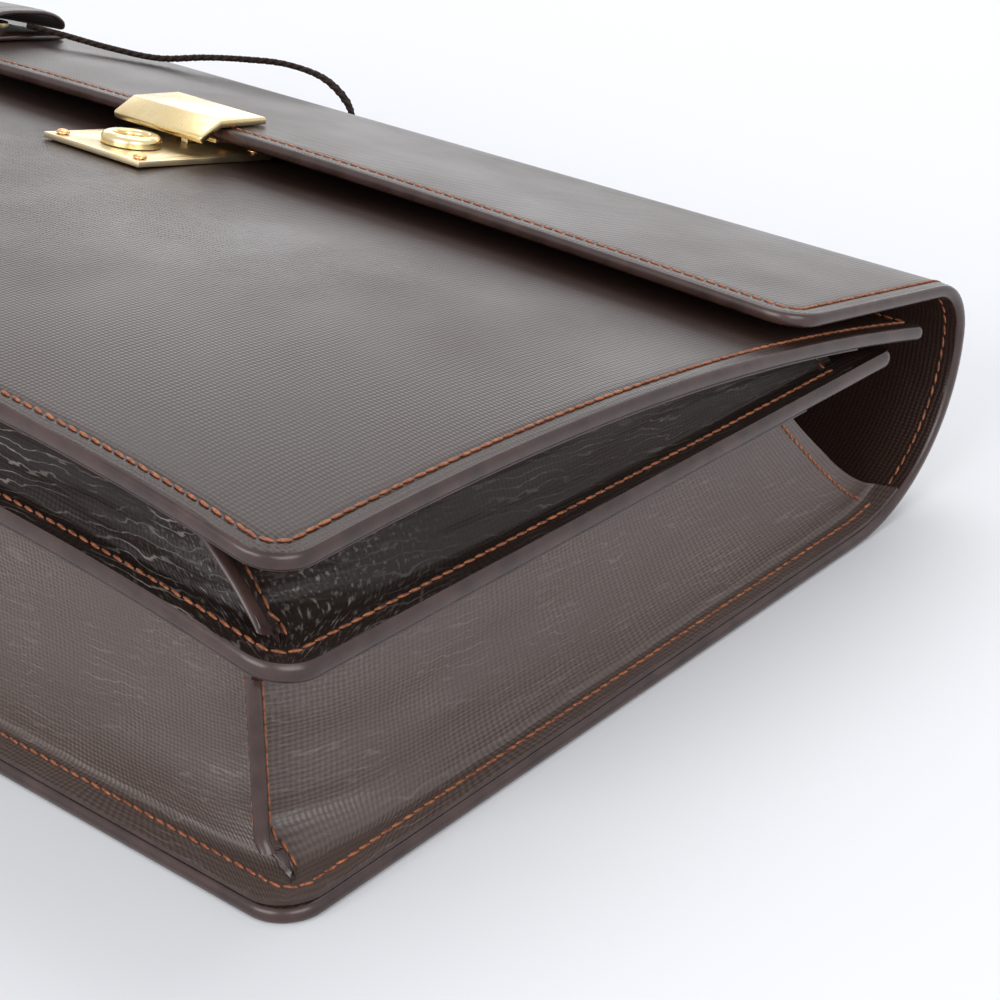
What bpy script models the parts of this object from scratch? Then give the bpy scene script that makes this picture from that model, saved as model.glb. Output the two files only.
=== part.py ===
"""Leather flap-over briefcase, lying on its back. Metres, +X to the right, +Y to the top, +Z up.

Two compartments are stacked on the back panel: back panel, back gussets, divider, front gussets,
front panel. The back panel curls up at the top and carries on over the front as the flap.
"""

import bmesh
import bpy
from math import asin, atan2, cos, exp, pi, radians, sin, sqrt
from mathutils import Matrix, Vector

# Leather body
CASE_WIDTH = 0.410
PANEL_THICK = 0.0036
FRONT_THICK = 0.0026
DIVIDER_THICK = 0.0014
GUSSET_THICK = 0.0011
CLEARANCE = 0.0003
CORNER_RADIUS = 0.0105
TOP_CORNER_RADIUS = 0.010
BOARD_TOP_RADIUS = 0.004
PANEL_ROW_SPACING = 0.022
BACK_FLAT = 0.205
CURL_REACH = 0.046
CURL_RISE = 0.0447
TURN_RADIUS = 0.017
TURN_ANGLE = radians(78.8)
HINGE_ANGLE = radians(30)
FLAP_LENGTH = 0.0678
FLAP_STAND = 0.00945
FLAP_CROWN_RUN = 0.048
FRONT_HEIGHT = 0.0820
FRONT_TOP = 0.231
FRONT_LEVEL_Y = 0.020
FRONT_ARC_RADIUS = 0.770
FRONT_BOW = 0.012
DIVIDER_HEIGHT = 0.0570
DIVIDER_TOP = 0.216
DIVIDER_SLOPE = 0.0324
DIVIDER_BOW = 0.011
DIVIDER_BOW_END = 0.170
DIVIDER_SAG = 0.003
DIVIDER_SAG_START = 0.192
BOW_POWER = 3.5
BOW_FADE_POWER = 1.5
BOTTOM_SETBACK = 0.002

# Gussets: how far the walls stand in from the panel edges, and the seam at each bottom corner
EDGE_INSET = 0.0004
WALL_RECESS = 0.008
CORNER_RECESS = 0.018
FRONT_PINCH = 0.012
SEAM_LENGTH = 0.005
FLANGE_STEP = 0.0022
CORNER_FADE = 0.022
CORNER_START = 0.060
SEAM_EDGE_SHARE = 0.35
STATION_SPACING = 0.030
STATION_POWER = 1.4
BACK_GUSSET_FOOT_Y = 0.220
BACK_GUSSET_HEAD_Y = 0.175
FRONT_GUSSET_TOP_Y = 0.196

# Lock on the front panel; u runs along +X, v up the panel and n out of it
LOCK_BELOW_HEM = 0.0088
PLATE_WIDTH = 0.038
PLATE_LENGTH = 0.050
PLATE_THICK = 0.0015
BEZEL_RADIUS = 0.0083
BEZEL_BORE = 0.0044
BEZEL_HEIGHT = 0.0030
BEZEL_CHAMFER = 0.0009
BEZEL_V = -0.0105
PLUG_RECESS = 0.0014
KEYHOLE_WIDTH = 0.0014
KEYHOLE_LENGTH = 0.0052
KEYHOLE_DEPTH = 0.0012
PLUG_TAIL = 0.0010
LOCK_CASE_WIDTH = 0.026
LOCK_CASE_LENGTH = 0.0386
LOCK_CASE_DEPTH = 0.0085
LOCK_CASE_WALL = 0.0012
LOCK_CASE_V = 0.0022
BOLT_ARM = 0.0032
BOLT_BODY = 0.0068
BOLT_LEFT = 0.0112
BOLT_RIGHT = 0.0035
FINGER_WIDTH = 0.0028
FINGER_THICK = 0.0022
FINGER_GAP = 0.0010
STAPLE_V = 0.0130
STAPLE_LENGTH = 0.0074
STAPLE_THICK = 0.0024
STAPLE_BAR = 0.0016
STAPLE_PLAY = 0.0009
SLOT_CLEARANCE = 0.0008
SLOT_SWING = 0.0036
RIVET_HEAD = 0.0019
RIVET_SHANK = 0.0010
RIVET_DOME = 0.0011
RIVET_DEPTH = 0.0024
RIVET_EDGE = 0.0036
RIVET_SIDES = 12

# Hasp on the flap hem; w runs from the hem up the flap and n out of it
HASP_WIDTH = 0.035
HASP_LEAF = 0.016
HASP_LIP = 0.0080
HASP_DROP = radians(30)
HASP_THICK = 0.0022
HASP_OVERHANG = 0.0012
HASP_BEVEL = 0.0006
HASP_BACK_WIDTH = 0.026
HASP_BACK_LENGTH = 0.015
HASP_BACK_THICK = 0.0010
HASP_BACK_INSET = 0.0015
HASP_RIVET_U = 0.0095
HASP_RIVET_W = 0.0090

# Carrying handle behind the top edge
HANDLE_SPAN = 0.124
HANDLE_Z = 0.0313
BRACKET_WIDTH = 0.026
BRACKET_HEIGHT = 0.013
BRACKET_PLATE = 0.0015
EAR_SPACING = 0.0105
EAR_THICK = 0.0018
EAR_RADIUS = 0.0042
PIN_OFFSET = 0.0060
PIN_RADIUS = 0.0017
PIN_HEAD = 0.0028
PIN_HEAD_THICK = 0.0010
EYE_RADIUS = 0.0038
EYE_NECK = 0.0060
EYE_NECK_RADIUS = 0.0026
HANDLE_REACH = 0.048
GRIP_RADIUS = 0.0085
GRIP_END_RADIUS = 0.0058
GRIP_ARCH_POWER = 0.6

# Zipped pocket under the divider
ZIP_Y = 0.1835
ZIP_TAPE_WIDTH = 0.014
ZIP_TAPE_THICK = 0.0008
ZIP_LEFT_MARGIN = 0.035
ZIP_RIGHT_MARGIN = 0.0080
TEETH_WIDTH = 0.0046
TEETH_THICK = 0.0014
TEETH_END = 0.004
SLIDER_LENGTH = 0.0095
SLIDER_WIDTH = 0.0080
SLIDER_THICK = 0.0016
PULL_LENGTH = 0.016
PULL_WIDTH = 0.0048
PULL_THICK = 0.0012

# Key bell on the flap, its key and the doubled cord that ties it to a handle bracket
CORD_DIAMETER = 0.0024
CORD_SPACING = 0.0032
CORD_STEP = 0.006
KNOT_RADIUS = 0.0034
BELL_X = -0.110
BELL_Y = 0.206
BELL_TURN = radians(195)
BELL_LENGTH = 0.070
BELL_MOUTH_WIDTH = 0.048
BELL_NECK_WIDTH = 0.022
BELL_LEAF = 0.0018
BELL_GAP = 0.0060
BELL_TAPER = 0.6
KEY_INSET = 0.016
KEY_LENGTH = 0.036
KEY_THICK = 0.0016
KEY_BOW_RADIUS = 0.0080
KEY_HOLE_RADIUS = 0.0034
KEY_STEM = 0.0032
KEY_BIT = 0.0066
KEY_BIT_LENGTH = 0.009

# Worked-out places on the top turn
TURN_Y = BACK_FLAT + CURL_REACH - TURN_RADIUS
HINGE_Y = TURN_Y + TURN_RADIUS * cos(HINGE_ANGLE)
HINGE_Z = CURL_RISE + TURN_RADIUS * sin(HINGE_ANGLE)
FLAP_SLOPE = pi / 2 - TURN_ANGLE
HEM_Y = TURN_Y + TURN_RADIUS * cos(TURN_ANGLE) - FLAP_LENGTH * cos(FLAP_SLOPE)
HEM_Z = CURL_RISE + TURN_RADIUS * sin(TURN_ANGLE) + FLAP_LENGTH * sin(FLAP_SLOPE)
LOCK_Y = HEM_Y - LOCK_BELOW_HEM
HALF_WIDTH = CASE_WIDTH / 2
COLUMNS = (-1, -0.93, -0.82, -0.64, -0.35, 0, 0.35, 0.64, 0.82, 0.93, 1)

# The handle stands out square to the curl, and its reach sets the middle of the whole object
CURL_OUT = CURL_REACH * sqrt(1 - (1 - HANDLE_Z / CURL_RISE) ** 2)
HANDLE_DROOP = atan2((CURL_RISE - HANDLE_Z) / CURL_RISE ** 2, CURL_OUT / CURL_REACH ** 2)
PIN_STAND = CLEARANCE + BRACKET_PLATE + PIN_OFFSET
PIN_Y = BACK_FLAT + CURL_OUT + PIN_STAND * cos(HANDLE_DROOP)
PIN_Z = HANDLE_Z - PIN_STAND * sin(HANDLE_DROOP)
MIDDLE_Y = (PIN_Y + HANDLE_REACH * cos(HANDLE_DROOP) + GRIP_RADIUS) / 2

for old in list(bpy.data.objects):
    bpy.data.objects.remove(old, do_unlink=True)


def material(name, colour, roughness, metallic=0.0):
    """A plain principled finish."""
    made = bpy.data.materials.new(name)
    made.use_nodes = True
    shader = made.node_tree.nodes["Principled BSDF"]
    shader.inputs["Base Color"].default_value = (*colour, 1)
    shader.inputs["Roughness"].default_value = roughness
    shader.inputs["Metallic"].default_value = metallic
    return made


LEATHER = material("brown_leather", (0.050, 0.032, 0.028), 0.48)
GUSSET_LEATHER = material("gusset_leather", (0.038, 0.024, 0.021), 0.55)
BRASS = material("polished_brass", (0.80, 0.62, 0.27), 0.18, 1.0)
COPPER = material("rivet_copper", (0.78, 0.42, 0.18), 0.25, 1.0)
NICKEL = material("zip_nickel", (0.72, 0.72, 0.72), 0.25, 1.0)
STEEL = material("lock_steel", (0.55, 0.56, 0.57), 0.35, 1.0)
TAPE = material("zip_tape", (0.035, 0.024, 0.020), 0.85)
CORD = material("braided_cord", (0.018, 0.012, 0.010), 0.80)


def empty(name, place):
    """A joint's frame, which carries the moving pieces of one body."""
    axis = bpy.data.objects.new(name, None)
    axis.location = place
    bpy.context.collection.objects.link(axis)
    return axis


def centred(y, z, x=0.0):
    """A point of the case, measured from the bottom edge, in the frame of the whole object."""
    return Vector((x, y - MIDDLE_Y, z))


def add_object(name, bm, finish, carrier=None, smooth=40):
    """Turn a bmesh into a named object on its joint's frame."""
    bmesh.ops.recalc_face_normals(bm, faces=bm.faces)
    mesh = bpy.data.meshes.new(name)
    if carrier is not None:
        bmesh.ops.translate(bm, verts=bm.verts, vec=-carrier.location)
    bm.to_mesh(mesh)
    bm.free()
    mesh.shade_smooth()
    mesh.set_sharp_from_angle(angle=radians(smooth))
    mesh.materials.append(finish)
    made = bpy.data.objects.new(name, mesh)
    bpy.context.collection.objects.link(made)
    made.parent = carrier
    return made


def combine(target, bm, operation):
    """Join another shape to an object, or cut it out."""
    name = f"{target.name}_tool_{len(target.modifiers)}"
    tool = add_object(name, bm, target.data.materials[0], target.parent)
    tool.hide_render = True
    tool.display_type = "WIRE"
    change = target.modifiers.new(name, "BOOLEAN")
    change.operation = operation
    change.solver = "EXACT"
    change.object = tool


def offset_grid(grid, depth):
    """The same grid moved against its surface normal."""
    rows, columns = len(grid), len(grid[0])
    moved = []
    for i in range(rows):
        line = []
        for j in range(columns):
            along = grid[min(i + 1, rows - 1)][j] - grid[max(i - 1, 0)][j]
            across = grid[i][min(j + 1, columns - 1)] - grid[i][max(j - 1, 0)]
            line.append(grid[i][j] - along.cross(across).normalized() * depth)
        moved.append(line)
    return moved


def slab(outer, inner):
    """A closed sheet between two grids of points."""
    bm = bmesh.new()
    rows, columns = len(outer), len(outer[0])
    top = [[bm.verts.new(p) for p in row] for row in outer]
    low = [[bm.verts.new(p) for p in row] for row in inner]
    for i in range(rows - 1):
        for j in range(columns - 1):
            bm.faces.new((top[i][j], top[i][j + 1], top[i + 1][j + 1], top[i + 1][j]))
            bm.faces.new((low[i][j], low[i + 1][j], low[i + 1][j + 1], low[i][j + 1]))
    for i in range(rows - 1):
        for j in (0, columns - 1):
            bm.faces.new((top[i][j], top[i + 1][j], low[i + 1][j], low[i][j]))
    for j in range(columns - 1):
        for i in (0, rows - 1):
            bm.faces.new((top[i][j], top[i][j + 1], low[i][j + 1], low[i][j]))
    return bm


def corner_rows(radius, steps=5):
    """Distance from an edge and loss of half width, along a rounded corner."""
    turns = [pi / 2 * k / steps for k in range(steps + 1)]
    return [(radius * (1 - cos(t)), radius * (1 - sin(t))) for t in turns]


def panel_rows(bottom, top, stations):
    """Places up a panel and its half widths there, with its four corners rounded."""
    low = [(bottom + d, HALF_WIDTH - loss) for d, loss in corner_rows(CORNER_RADIUS)]
    high = [(top - d, HALF_WIDTH - loss) for d, loss in reversed(corner_rows(BOARD_TOP_RADIUS))]
    stops = [bottom + CORNER_RADIUS, *stations, top - BOARD_TOP_RADIUS]
    middle = []
    for start, end in zip(stops, stops[1:]):
        count = max(1, round((end - start) / PANEL_ROW_SPACING))
        middle += [(start + (end - start) * k / count, HALF_WIDTH) for k in range(count)]
    return low + middle[1:] + high


def bow(x, y, height, end):
    """How far a panel arches up between its bottom corners."""
    fall = max(0.0, 1 - y / end) ** BOW_FADE_POWER
    return height * (1 - min(1.0, abs(x) / HALF_WIDTH) ** BOW_POWER) * fall


def ease(t):
    """Smooth step from 0 to 1."""
    t = min(1.0, max(0.0, t))
    return t * t * (3 - 2 * t)


def front_z(x, y):
    """Outer face of the front panel."""
    fall = FRONT_ARC_RADIUS - sqrt(FRONT_ARC_RADIUS ** 2 - (y - FRONT_LEVEL_Y) ** 2)
    return FRONT_HEIGHT - fall + bow(x, y, FRONT_BOW, FRONT_TOP)


def divider_z(x, y):
    """Upper face of the divider."""
    sag = ease((y - DIVIDER_SAG_START) / (DIVIDER_TOP - DIVIDER_SAG_START))
    dip = DIVIDER_SAG * (1 - (x / HALF_WIDTH) ** 2) * sag
    return DIVIDER_HEIGHT - DIVIDER_SLOPE * y + bow(x, y, DIVIDER_BOW, DIVIDER_BOW_END) - dip


def front_under(x, y):
    """Inner face of the front panel."""
    return front_z(x, y) - FRONT_THICK


def divider_under(x, y):
    """Lower face of the divider."""
    return divider_z(x, y) - DIVIDER_THICK


def back_z(x, y):
    """Upper face of the back panel over its flat part and the start of its curl."""
    out = max(0.0, y - BACK_FLAT) / CURL_REACH
    level = sqrt(1 - out ** 2)
    slope = CURL_RISE / CURL_REACH * out / level
    return CURL_RISE * (1 - level) + PANEL_THICK * sqrt(1 + slope ** 2)


# Back panel and flap: one leather, parted at the line where the flap bends open
def turn_row(angle):
    """Outer face of the tight turn and its slope, measured from level with the curl's end."""
    y = TURN_Y + TURN_RADIUS * cos(angle)
    z = CURL_RISE + TURN_RADIUS * sin(angle)
    return y, z, pi / 2 + angle


def back_rows():
    """Place, slope, half width and crown from the bottom edge to the bending line."""
    rows = [(d, 0.0, 0.0, HALF_WIDTH - loss, 0.0) for d, loss in corner_rows(CORNER_RADIUS)]
    rows += [(BACK_FLAT * k / 4, 0.0, 0.0, HALF_WIDTH, 0.0) for k in (1, 2, 3)]
    for k in range(10):
        turn = pi / 2 * k / 10
        y = BACK_FLAT + CURL_REACH * sin(turn)
        z = CURL_RISE * (1 - cos(turn))
        slope = atan2(CURL_RISE * sin(turn), CURL_REACH * cos(turn))
        rows.append((y, z, slope, HALF_WIDTH, 0.0))
    end = HINGE_ANGLE - CLEARANCE / TURN_RADIUS / 2
    return rows + [(*turn_row(end * k / 4), HALF_WIDTH, 0.0) for k in range(5)]


FLAP_CROWN = front_z(0, HEM_Y) + FLAP_STAND - HEM_Z


def flap_place(run):
    """Outer face of the flap along its middle, by distance from the end of the turn."""
    y, z, slope = turn_row(TURN_ANGLE)
    crown = FLAP_CROWN * ease(run / FLAP_CROWN_RUN)
    return y - run * cos(FLAP_SLOPE), z + run * sin(FLAP_SLOPE), slope, crown


def flap_rows():
    """Place, slope, half width and crown from the bending line to the hem."""
    start = HINGE_ANGLE + CLEARANCE / TURN_RADIUS / 2
    turns = [start + (TURN_ANGLE - start) * k / 5 for k in range(6)]
    rows = [(*turn_row(turn), HALF_WIDTH, 0.0) for turn in turns]
    runs = [((FLAP_LENGTH - TOP_CORNER_RADIUS) * k / 4, 0.0) for k in (1, 2, 3)]
    runs += [(FLAP_LENGTH - d, loss) for d, loss in reversed(corner_rows(TOP_CORNER_RADIUS))]
    for run, loss in runs:
        y, z, slope, crown = flap_place(run)
        rows.append((y, z, slope, HALF_WIDTH - loss, crown))
    return rows


def leather_strip(rows):
    """A bent strip of panel leather through rows of its outer face."""
    outer, inner = [], []
    for y, z, slope, half, crown in rows:
        inward = Vector((0, -sin(slope), cos(slope))) * PANEL_THICK
        line = [centred(y, z + crown * (1 - t * t), half * t) for t in COLUMNS]
        outer.append(line)
        inner.append([p + inward for p in line])
    return slab(outer, inner)


hinge_frame = empty("flap_hinge", centred(HINGE_Y, HINGE_Z))
back_panel = add_object("back_panel", leather_strip(back_rows()), LEATHER)
flap = add_object("flap", leather_strip(flap_rows()), LEATHER, hinge_frame)


# Front panel and divider: stiff leather boards that arch a little between the corners
def surface_normal(height, x, y, step=0.0005):
    """Upward normal of a height function."""
    across = (height(x + step, y) - height(x - step, y)) / step / 2
    along = (height(x, y + step) - height(x, y - step)) / step / 2
    return Vector((-across, -along, 1)).normalized()


def board(name, height, under, bottom, top, stations=()):
    """A panel between two height functions."""
    outer, inner = [], []
    for y, half in panel_rows(bottom, top, stations):
        line = [(half * t, y) for t in COLUMNS]
        outer.append([centred(y, height(x, y), x) for x, y in line])
        inner.append([centred(y, under(x, y), x) for x, y in line])
    return add_object(name, slab(outer, inner), LEATHER)


front_panel = board("front_panel", front_z, front_under, BOTTOM_SETBACK, FRONT_TOP)
divider_bends = (DIVIDER_BOW_END, DIVIDER_SAG_START)
board("divider_panel", divider_z, divider_under, BOTTOM_SETBACK, DIVIDER_TOP, divider_bends)


# Gussets: walls with a flange top and bottom, and turned-out ends sewn together at the corners
def outline_inset(along):
    """How far the rounded panel outline stands in from the side, by distance up the side."""
    if along >= CORNER_RADIUS:
        return 0.0
    return CORNER_RADIUS - sqrt(CORNER_RADIUS ** 2 - (CORNER_RADIUS - along) ** 2)


def wall_recess(distance, rise, pinch):
    """How far a wall stands in from the panel edge, by distance from its corner."""
    corner = CORNER_RECESS + pinch * rise
    return WALL_RECESS + (corner - WALL_RECESS) * exp(-max(0.0, distance) / CORNER_FADE)


# Place up the wall (0 to 1), share of the recess and share of the height, down one flange,
# up the wall and out along the other flange
GUSSET_SECTION = (
    (0.00, 0.00, 0.0),
    (0.00, 0.80, 0.0),
    (0.08, 1.00, 0.10),
    (0.35, 1.12, 0.35),
    (0.65, 1.12, 0.65),
    (0.92, 1.00, 0.90),
    (1.00, 0.80, 1.0),
    (1.00, 0.00, 1.0),
)


def gusset_stations(length):
    """Distances from the bottom corner along a wall, close together near the corner."""
    near = [CORNER_START * (k / 5) ** STATION_POWER for k in range(1, 6)]
    count = max(2, round((length - CORNER_START) / STATION_SPACING))
    far = [CORNER_START + (length - CORNER_START) * k / count for k in range(1, count + 1)]
    return near + far


def gusset_section(reach, seam, lower, upper, pinch, hem=None):
    """Points of one gusset section on the right half.

    reach is the distance along the wall from the bottom corner and seam the distance out along
    the sewn end. hem holds the two ends of the side wall's slanted top; the bottom wall has none.
    """
    points = []
    half = GUSSET_THICK + CLEARANCE
    corner_edge = CORNER_RADIUS * (1 - sqrt(0.5))
    for rise, share, climb in GUSSET_SECTION:
        recess = wall_recess(reach, rise, pinch)
        inner = CORNER_RECESS + pinch * rise
        out = seam * (SEAM_EDGE_SHARE if share < 1 else 1.0)
        wall = Vector((recess - out, inner + reach - out))
        if seam > 0:
            wall += Vector((-half, half)) * sqrt(0.5)
        blend = ease(reach / CORNER_START)
        start = corner_edge + half + FLANGE_STEP * (1 - seam / SEAM_LENGTH)
        edge_along = start + (inner + reach - start) * blend
        edge = Vector((outline_inset(edge_along) + EDGE_INSET, edge_along + EDGE_INSET))
        plan = edge.lerp(wall, min(1.0, share))
        plan += Vector((1, 1 - blend)) * max(0.0, share - 1) * recess
        if hem is None:
            x, y = HALF_WIDTH - plan.y, plan.x + BOTTOM_SETBACK
        else:
            foot, head = hem
            x, y = HALF_WIDTH - plan.x, plan.y + BOTTOM_SETBACK
            y += (foot - head) * (1 - climb) * max(0.0, y - CORNER_START) / (head - CORNER_START)
        low = lower(x, y) + CLEARANCE + GUSSET_THICK
        high = upper(x, y) - CLEARANCE * 2 - GUSSET_THICK
        points.append(centred(y, low + (high - low) * climb, x))
    return points


def gusset_rows(length, *section):
    """Sections from the corner seam along one wall."""
    rows = [gusset_section(0.0, SEAM_LENGTH * share, *section) for share in (1.0, 0.4)]
    return rows + [gusset_section(reach, 0.0, *section) for reach in gusset_stations(length)]


def mirrored(rows):
    """The same points on the other side of the case."""
    return [[Vector((-p.x, p.y, p.z)) for p in row] for row in rows]


def add_gussets(name, lower, upper, foot, head, pinch):
    """The right, left and bottom walls of one compartment."""
    right = gusset_rows(head - CORNER_RECESS, lower, upper, pinch, (foot, head))
    half = gusset_rows(HALF_WIDTH - CORNER_RECESS, lower, upper, pinch)
    walls = (
        ("right", right, GUSSET_THICK),
        ("left", mirrored(right), -GUSSET_THICK),
        ("bottom", mirrored(half[:-1]) + half[::-1], GUSSET_THICK),
    )
    for side, outer, depth in walls:
        add_object(f"{name}_gusset_{side}", slab(outer, offset_grid(outer, depth)), GUSSET_LEATHER)


add_gussets("back", back_z, divider_under, BACK_GUSSET_FOOT_Y, BACK_GUSSET_HEAD_Y, 0.0)
add_gussets("front", divider_z, front_under, FRONT_GUSSET_TOP_Y, FRONT_GUSSET_TOP_Y, FRONT_PINCH)


# Shapes for the metalwork, made in a local frame and then moved to their place
def local_frame(origin, u, v):
    """A frame from an origin and two of its axes."""
    n = u.cross(v)
    return Matrix.Translation(origin) @ Matrix((u, v, n)).transposed().to_4x4()


def prism(frame, outline, low, high):
    """A flat outline in u and v, drawn out along n."""
    bm = bmesh.new()
    face = bm.faces.new([bm.verts.new((u, v, low)) for u, v in outline])
    drawn = bmesh.ops.extrude_face_region(bm, geom=[face])["geom"]
    rising = [g for g in drawn if isinstance(g, bmesh.types.BMVert)]
    bmesh.ops.translate(bm, verts=rising, vec=(0, 0, high - low))
    bm.transform(frame)
    return bm


def block(frame, u, v, low, high):
    """A box between two values of u, v and n."""
    return prism(frame, [(u[0], v[0]), (u[1], v[0]), (u[1], v[1]), (u[0], v[1])], low, high)


def turned(frame, profile, segments=24):
    """A profile of radius and height turned round n."""
    bm = bmesh.new()
    rings = []
    for radius, height in profile:
        if radius == 0:
            rings.append([bm.verts.new((0, 0, height))])
            continue
        turns = [2 * pi * k / segments for k in range(segments)]
        rings.append([bm.verts.new((radius * cos(t), radius * sin(t), height)) for t in turns])
    for one, two in zip(rings, rings[1:] + rings[:1]):
        for k in range(segments):
            after = k + 1
            ring = one[k % len(one)], one[after % len(one)], two[after % len(two)], two[k % len(two)]
            corners = list(dict.fromkeys(ring))
            if len(corners) > 2:
                bm.faces.new(corners)
    bm.transform(frame)
    return bm


def rod(frame, radius, low, high, segments=16):
    """A plain round bar along n."""
    return turned(frame, [(0, low), (radius, low), (radius, high), (0, high)], segments)


def rivet_shape(frame, base):
    """A domed rivet whose head sits at a height of n, with its shank below."""
    low = base - RIVET_DEPTH
    dome = [(RIVET_HEAD * cos(t), base + RIVET_DOME * sin(t)) for t in (0.0, 0.5, 1.0)]
    shank = [(0, low), (RIVET_SHANK, low), (RIVET_SHANK, base)]
    return turned(frame, shank + dome + [(0, base + RIVET_DOME)], RIVET_SIDES)


def rivet(name, frame, base, held, finish, carrier=None):
    """A rivet and its holes in the pieces that it holds."""
    low, high = base - RIVET_DEPTH - CLEARANCE * 2, base + CLEARANCE * 2
    for target in held:
        combine(target, rod(frame, RIVET_SHANK + CLEARANCE, low, high, RIVET_SIDES), "DIFFERENCE")
    add_object(name, rivet_shape(frame, base + CLEARANCE), finish, carrier)


# Lock: a riveted plate over a tray let into the panel, with a key plug and a sliding bolt
lock_origin = centred(LOCK_Y, front_z(0, LOCK_Y))
lock_normal = surface_normal(front_z, 0, LOCK_Y)
ACROSS = Vector((1, 0, 0))
lock = local_frame(lock_origin, ACROSS, lock_normal.cross(ACROSS))
plate_low = CLEARANCE
plate_top = plate_low + PLATE_THICK
half_u, half_v = PLATE_WIDTH / 2, PLATE_LENGTH / 2
plate_block = block(lock, (-half_u, half_u), (-half_v, half_v), plate_low, plate_top)
lock_plate = add_object("lock_plate", plate_block, BRASS)

case_u = (-LOCK_CASE_WIDTH / 2, LOCK_CASE_WIDTH / 2)
case_v = (LOCK_CASE_V - LOCK_CASE_LENGTH / 2, LOCK_CASE_V + LOCK_CASE_LENGTH / 2)
case_top = plate_low - CLEARANCE
case_low = case_top - LOCK_CASE_DEPTH
case_floor = case_low + LOCK_CASE_WALL
lock_case = add_object("lock_case", block(lock, case_u, case_v, case_low, case_top), STEEL)


def grown(span, by):
    """A span made longer at both ends."""
    return span[0] - by, span[1] + by


inside = grown(case_u, -LOCK_CASE_WALL), grown(case_v, -LOCK_CASE_WALL)
combine(lock_case, block(lock, *inside, case_floor, case_top + CLEARANCE), "DIFFERENCE")
window = grown(case_u, CLEARANCE), grown(case_v, CLEARANCE)
combine(front_panel, block(lock, *window, -LOCK_CASE_DEPTH, FRONT_THICK), "DIFFERENCE")

plug_place = lock @ Matrix.Translation((0, BEZEL_V, 0))
plug_radius = BEZEL_BORE - CLEARANCE
combine(lock_plate, rod(plug_place, BEZEL_BORE, -PLATE_THICK, plate_top * 2, 24), "DIFFERENCE")
staple_u = STAPLE_THICK / 2 + SLOT_CLEARANCE
slot_v = (STAPLE_V - STAPLE_LENGTH / 2 - SLOT_CLEARANCE, STAPLE_V + STAPLE_LENGTH / 2 + SLOT_SWING)
staple_slot = block(lock, (-staple_u, staple_u), slot_v, -PLATE_THICK, plate_top * 2)
combine(lock_plate, staple_slot, "DIFFERENCE")
for number, (u, v) in enumerate(((-1, -1), (1, -1), (-1, 1), (1, 1)), 1):
    place = lock @ Matrix.Translation((u * (half_u - RIVET_EDGE), v * (half_v - RIVET_EDGE), 0))
    rivet(f"plate_rivet_{number}", place, plate_top, (lock_plate, front_panel), COPPER)

bezel_low = plate_top + CLEARANCE
bezel_top = bezel_low + BEZEL_HEIGHT
bezel_profile = (
    (BEZEL_BORE, bezel_low),
    (BEZEL_RADIUS, bezel_low),
    (BEZEL_RADIUS, bezel_top - BEZEL_CHAMFER),
    (BEZEL_RADIUS - BEZEL_CHAMFER, bezel_top),
    (BEZEL_BORE + BEZEL_CHAMFER, bezel_top),
    (BEZEL_BORE, bezel_top - BEZEL_CHAMFER),
)
add_object("lock_bezel", turned(plug_place, bezel_profile, 32), BRASS)

plug_frame = empty("key_plug_axis", plug_place.translation)
plug_top = bezel_top - PLUG_RECESS
key_plug = add_object("key_plug", rod(plug_place, plug_radius, -PLUG_TAIL, plug_top, 24), BRASS, plug_frame)
keyhole = (-KEYHOLE_WIDTH / 2, KEYHOLE_WIDTH / 2), (-KEYHOLE_LENGTH / 2, KEYHOLE_LENGTH / 2)
keyhole_n = (plug_top - KEYHOLE_DEPTH, plug_top + KEYHOLE_DEPTH)
combine(key_plug, block(plug_place, *keyhole, *keyhole_n), "DIFFERENCE")

bolt_frame = empty("lock_bolt_slide", lock_origin)
bolt_top = -PLUG_TAIL - CLEARANCE
arm_right = BOLT_ARM - BOLT_LEFT
arm_top = STAPLE_V + FINGER_WIDTH / 2
body_low = BEZEL_V - BOLT_BODY / 2
body_high = BEZEL_V + BOLT_BODY / 2
bolt_outline = (
    (-BOLT_LEFT, body_low),
    (BOLT_RIGHT, body_low),
    (BOLT_RIGHT, body_high),
    (arm_right, body_high),
    (arm_right, arm_top),
    (-BOLT_LEFT, arm_top),
)
bolt_low = case_floor + CLEARANCE
lock_bolt = add_object("lock_bolt", prism(lock, bolt_outline, bolt_low, bolt_top), STEEL, bolt_frame)
finger_u = (arm_right - BOLT_ARM / 2, -STAPLE_THICK / 2 - FINGER_GAP)
finger_v = (STAPLE_V - FINGER_WIDTH / 2, arm_top)
combine(lock_bolt, block(lock, finger_u, finger_v, bolt_top - FINGER_THICK, bolt_top), "UNION")

# Hasp: a bent plate over the hem, a backing plate with rivets under it, and a staple for the bolt
up_flap = Vector((0, cos(FLAP_SLOPE), -sin(FLAP_SLOPE)))
hem = local_frame(centred(HEM_Y, HEM_Z + FLAP_CROWN), ACROSS, up_flap)
side_on = local_frame(hem.translation, up_flap, ACROSS.cross(up_flap))


def hasp_outline():
    """Side view of the hasp in w and n: a leaf on the flap and a lip bent down over the hem."""
    lip = Vector((-cos(HASP_DROP), -sin(HASP_DROP)))
    out = Vector((-sin(HASP_DROP), cos(HASP_DROP)))
    low, high = CLEARANCE, CLEARANCE + HASP_THICK
    fold = Vector((-HASP_OVERHANG, low))
    tip = fold + lip * HASP_LIP
    return (
        (HASP_LEAF, low),
        tuple(fold),
        tuple(tip),
        tuple(tip + out * (HASP_THICK - HASP_BEVEL)),
        tuple(tip + out * HASP_THICK - lip * HASP_BEVEL),
        (-HASP_OVERHANG - HASP_THICK * sin(HASP_DROP / 2) / cos(HASP_DROP / 2), high),
        (HASP_LEAF - HASP_BEVEL, high),
        (HASP_LEAF, high - HASP_BEVEL),
    )


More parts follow.
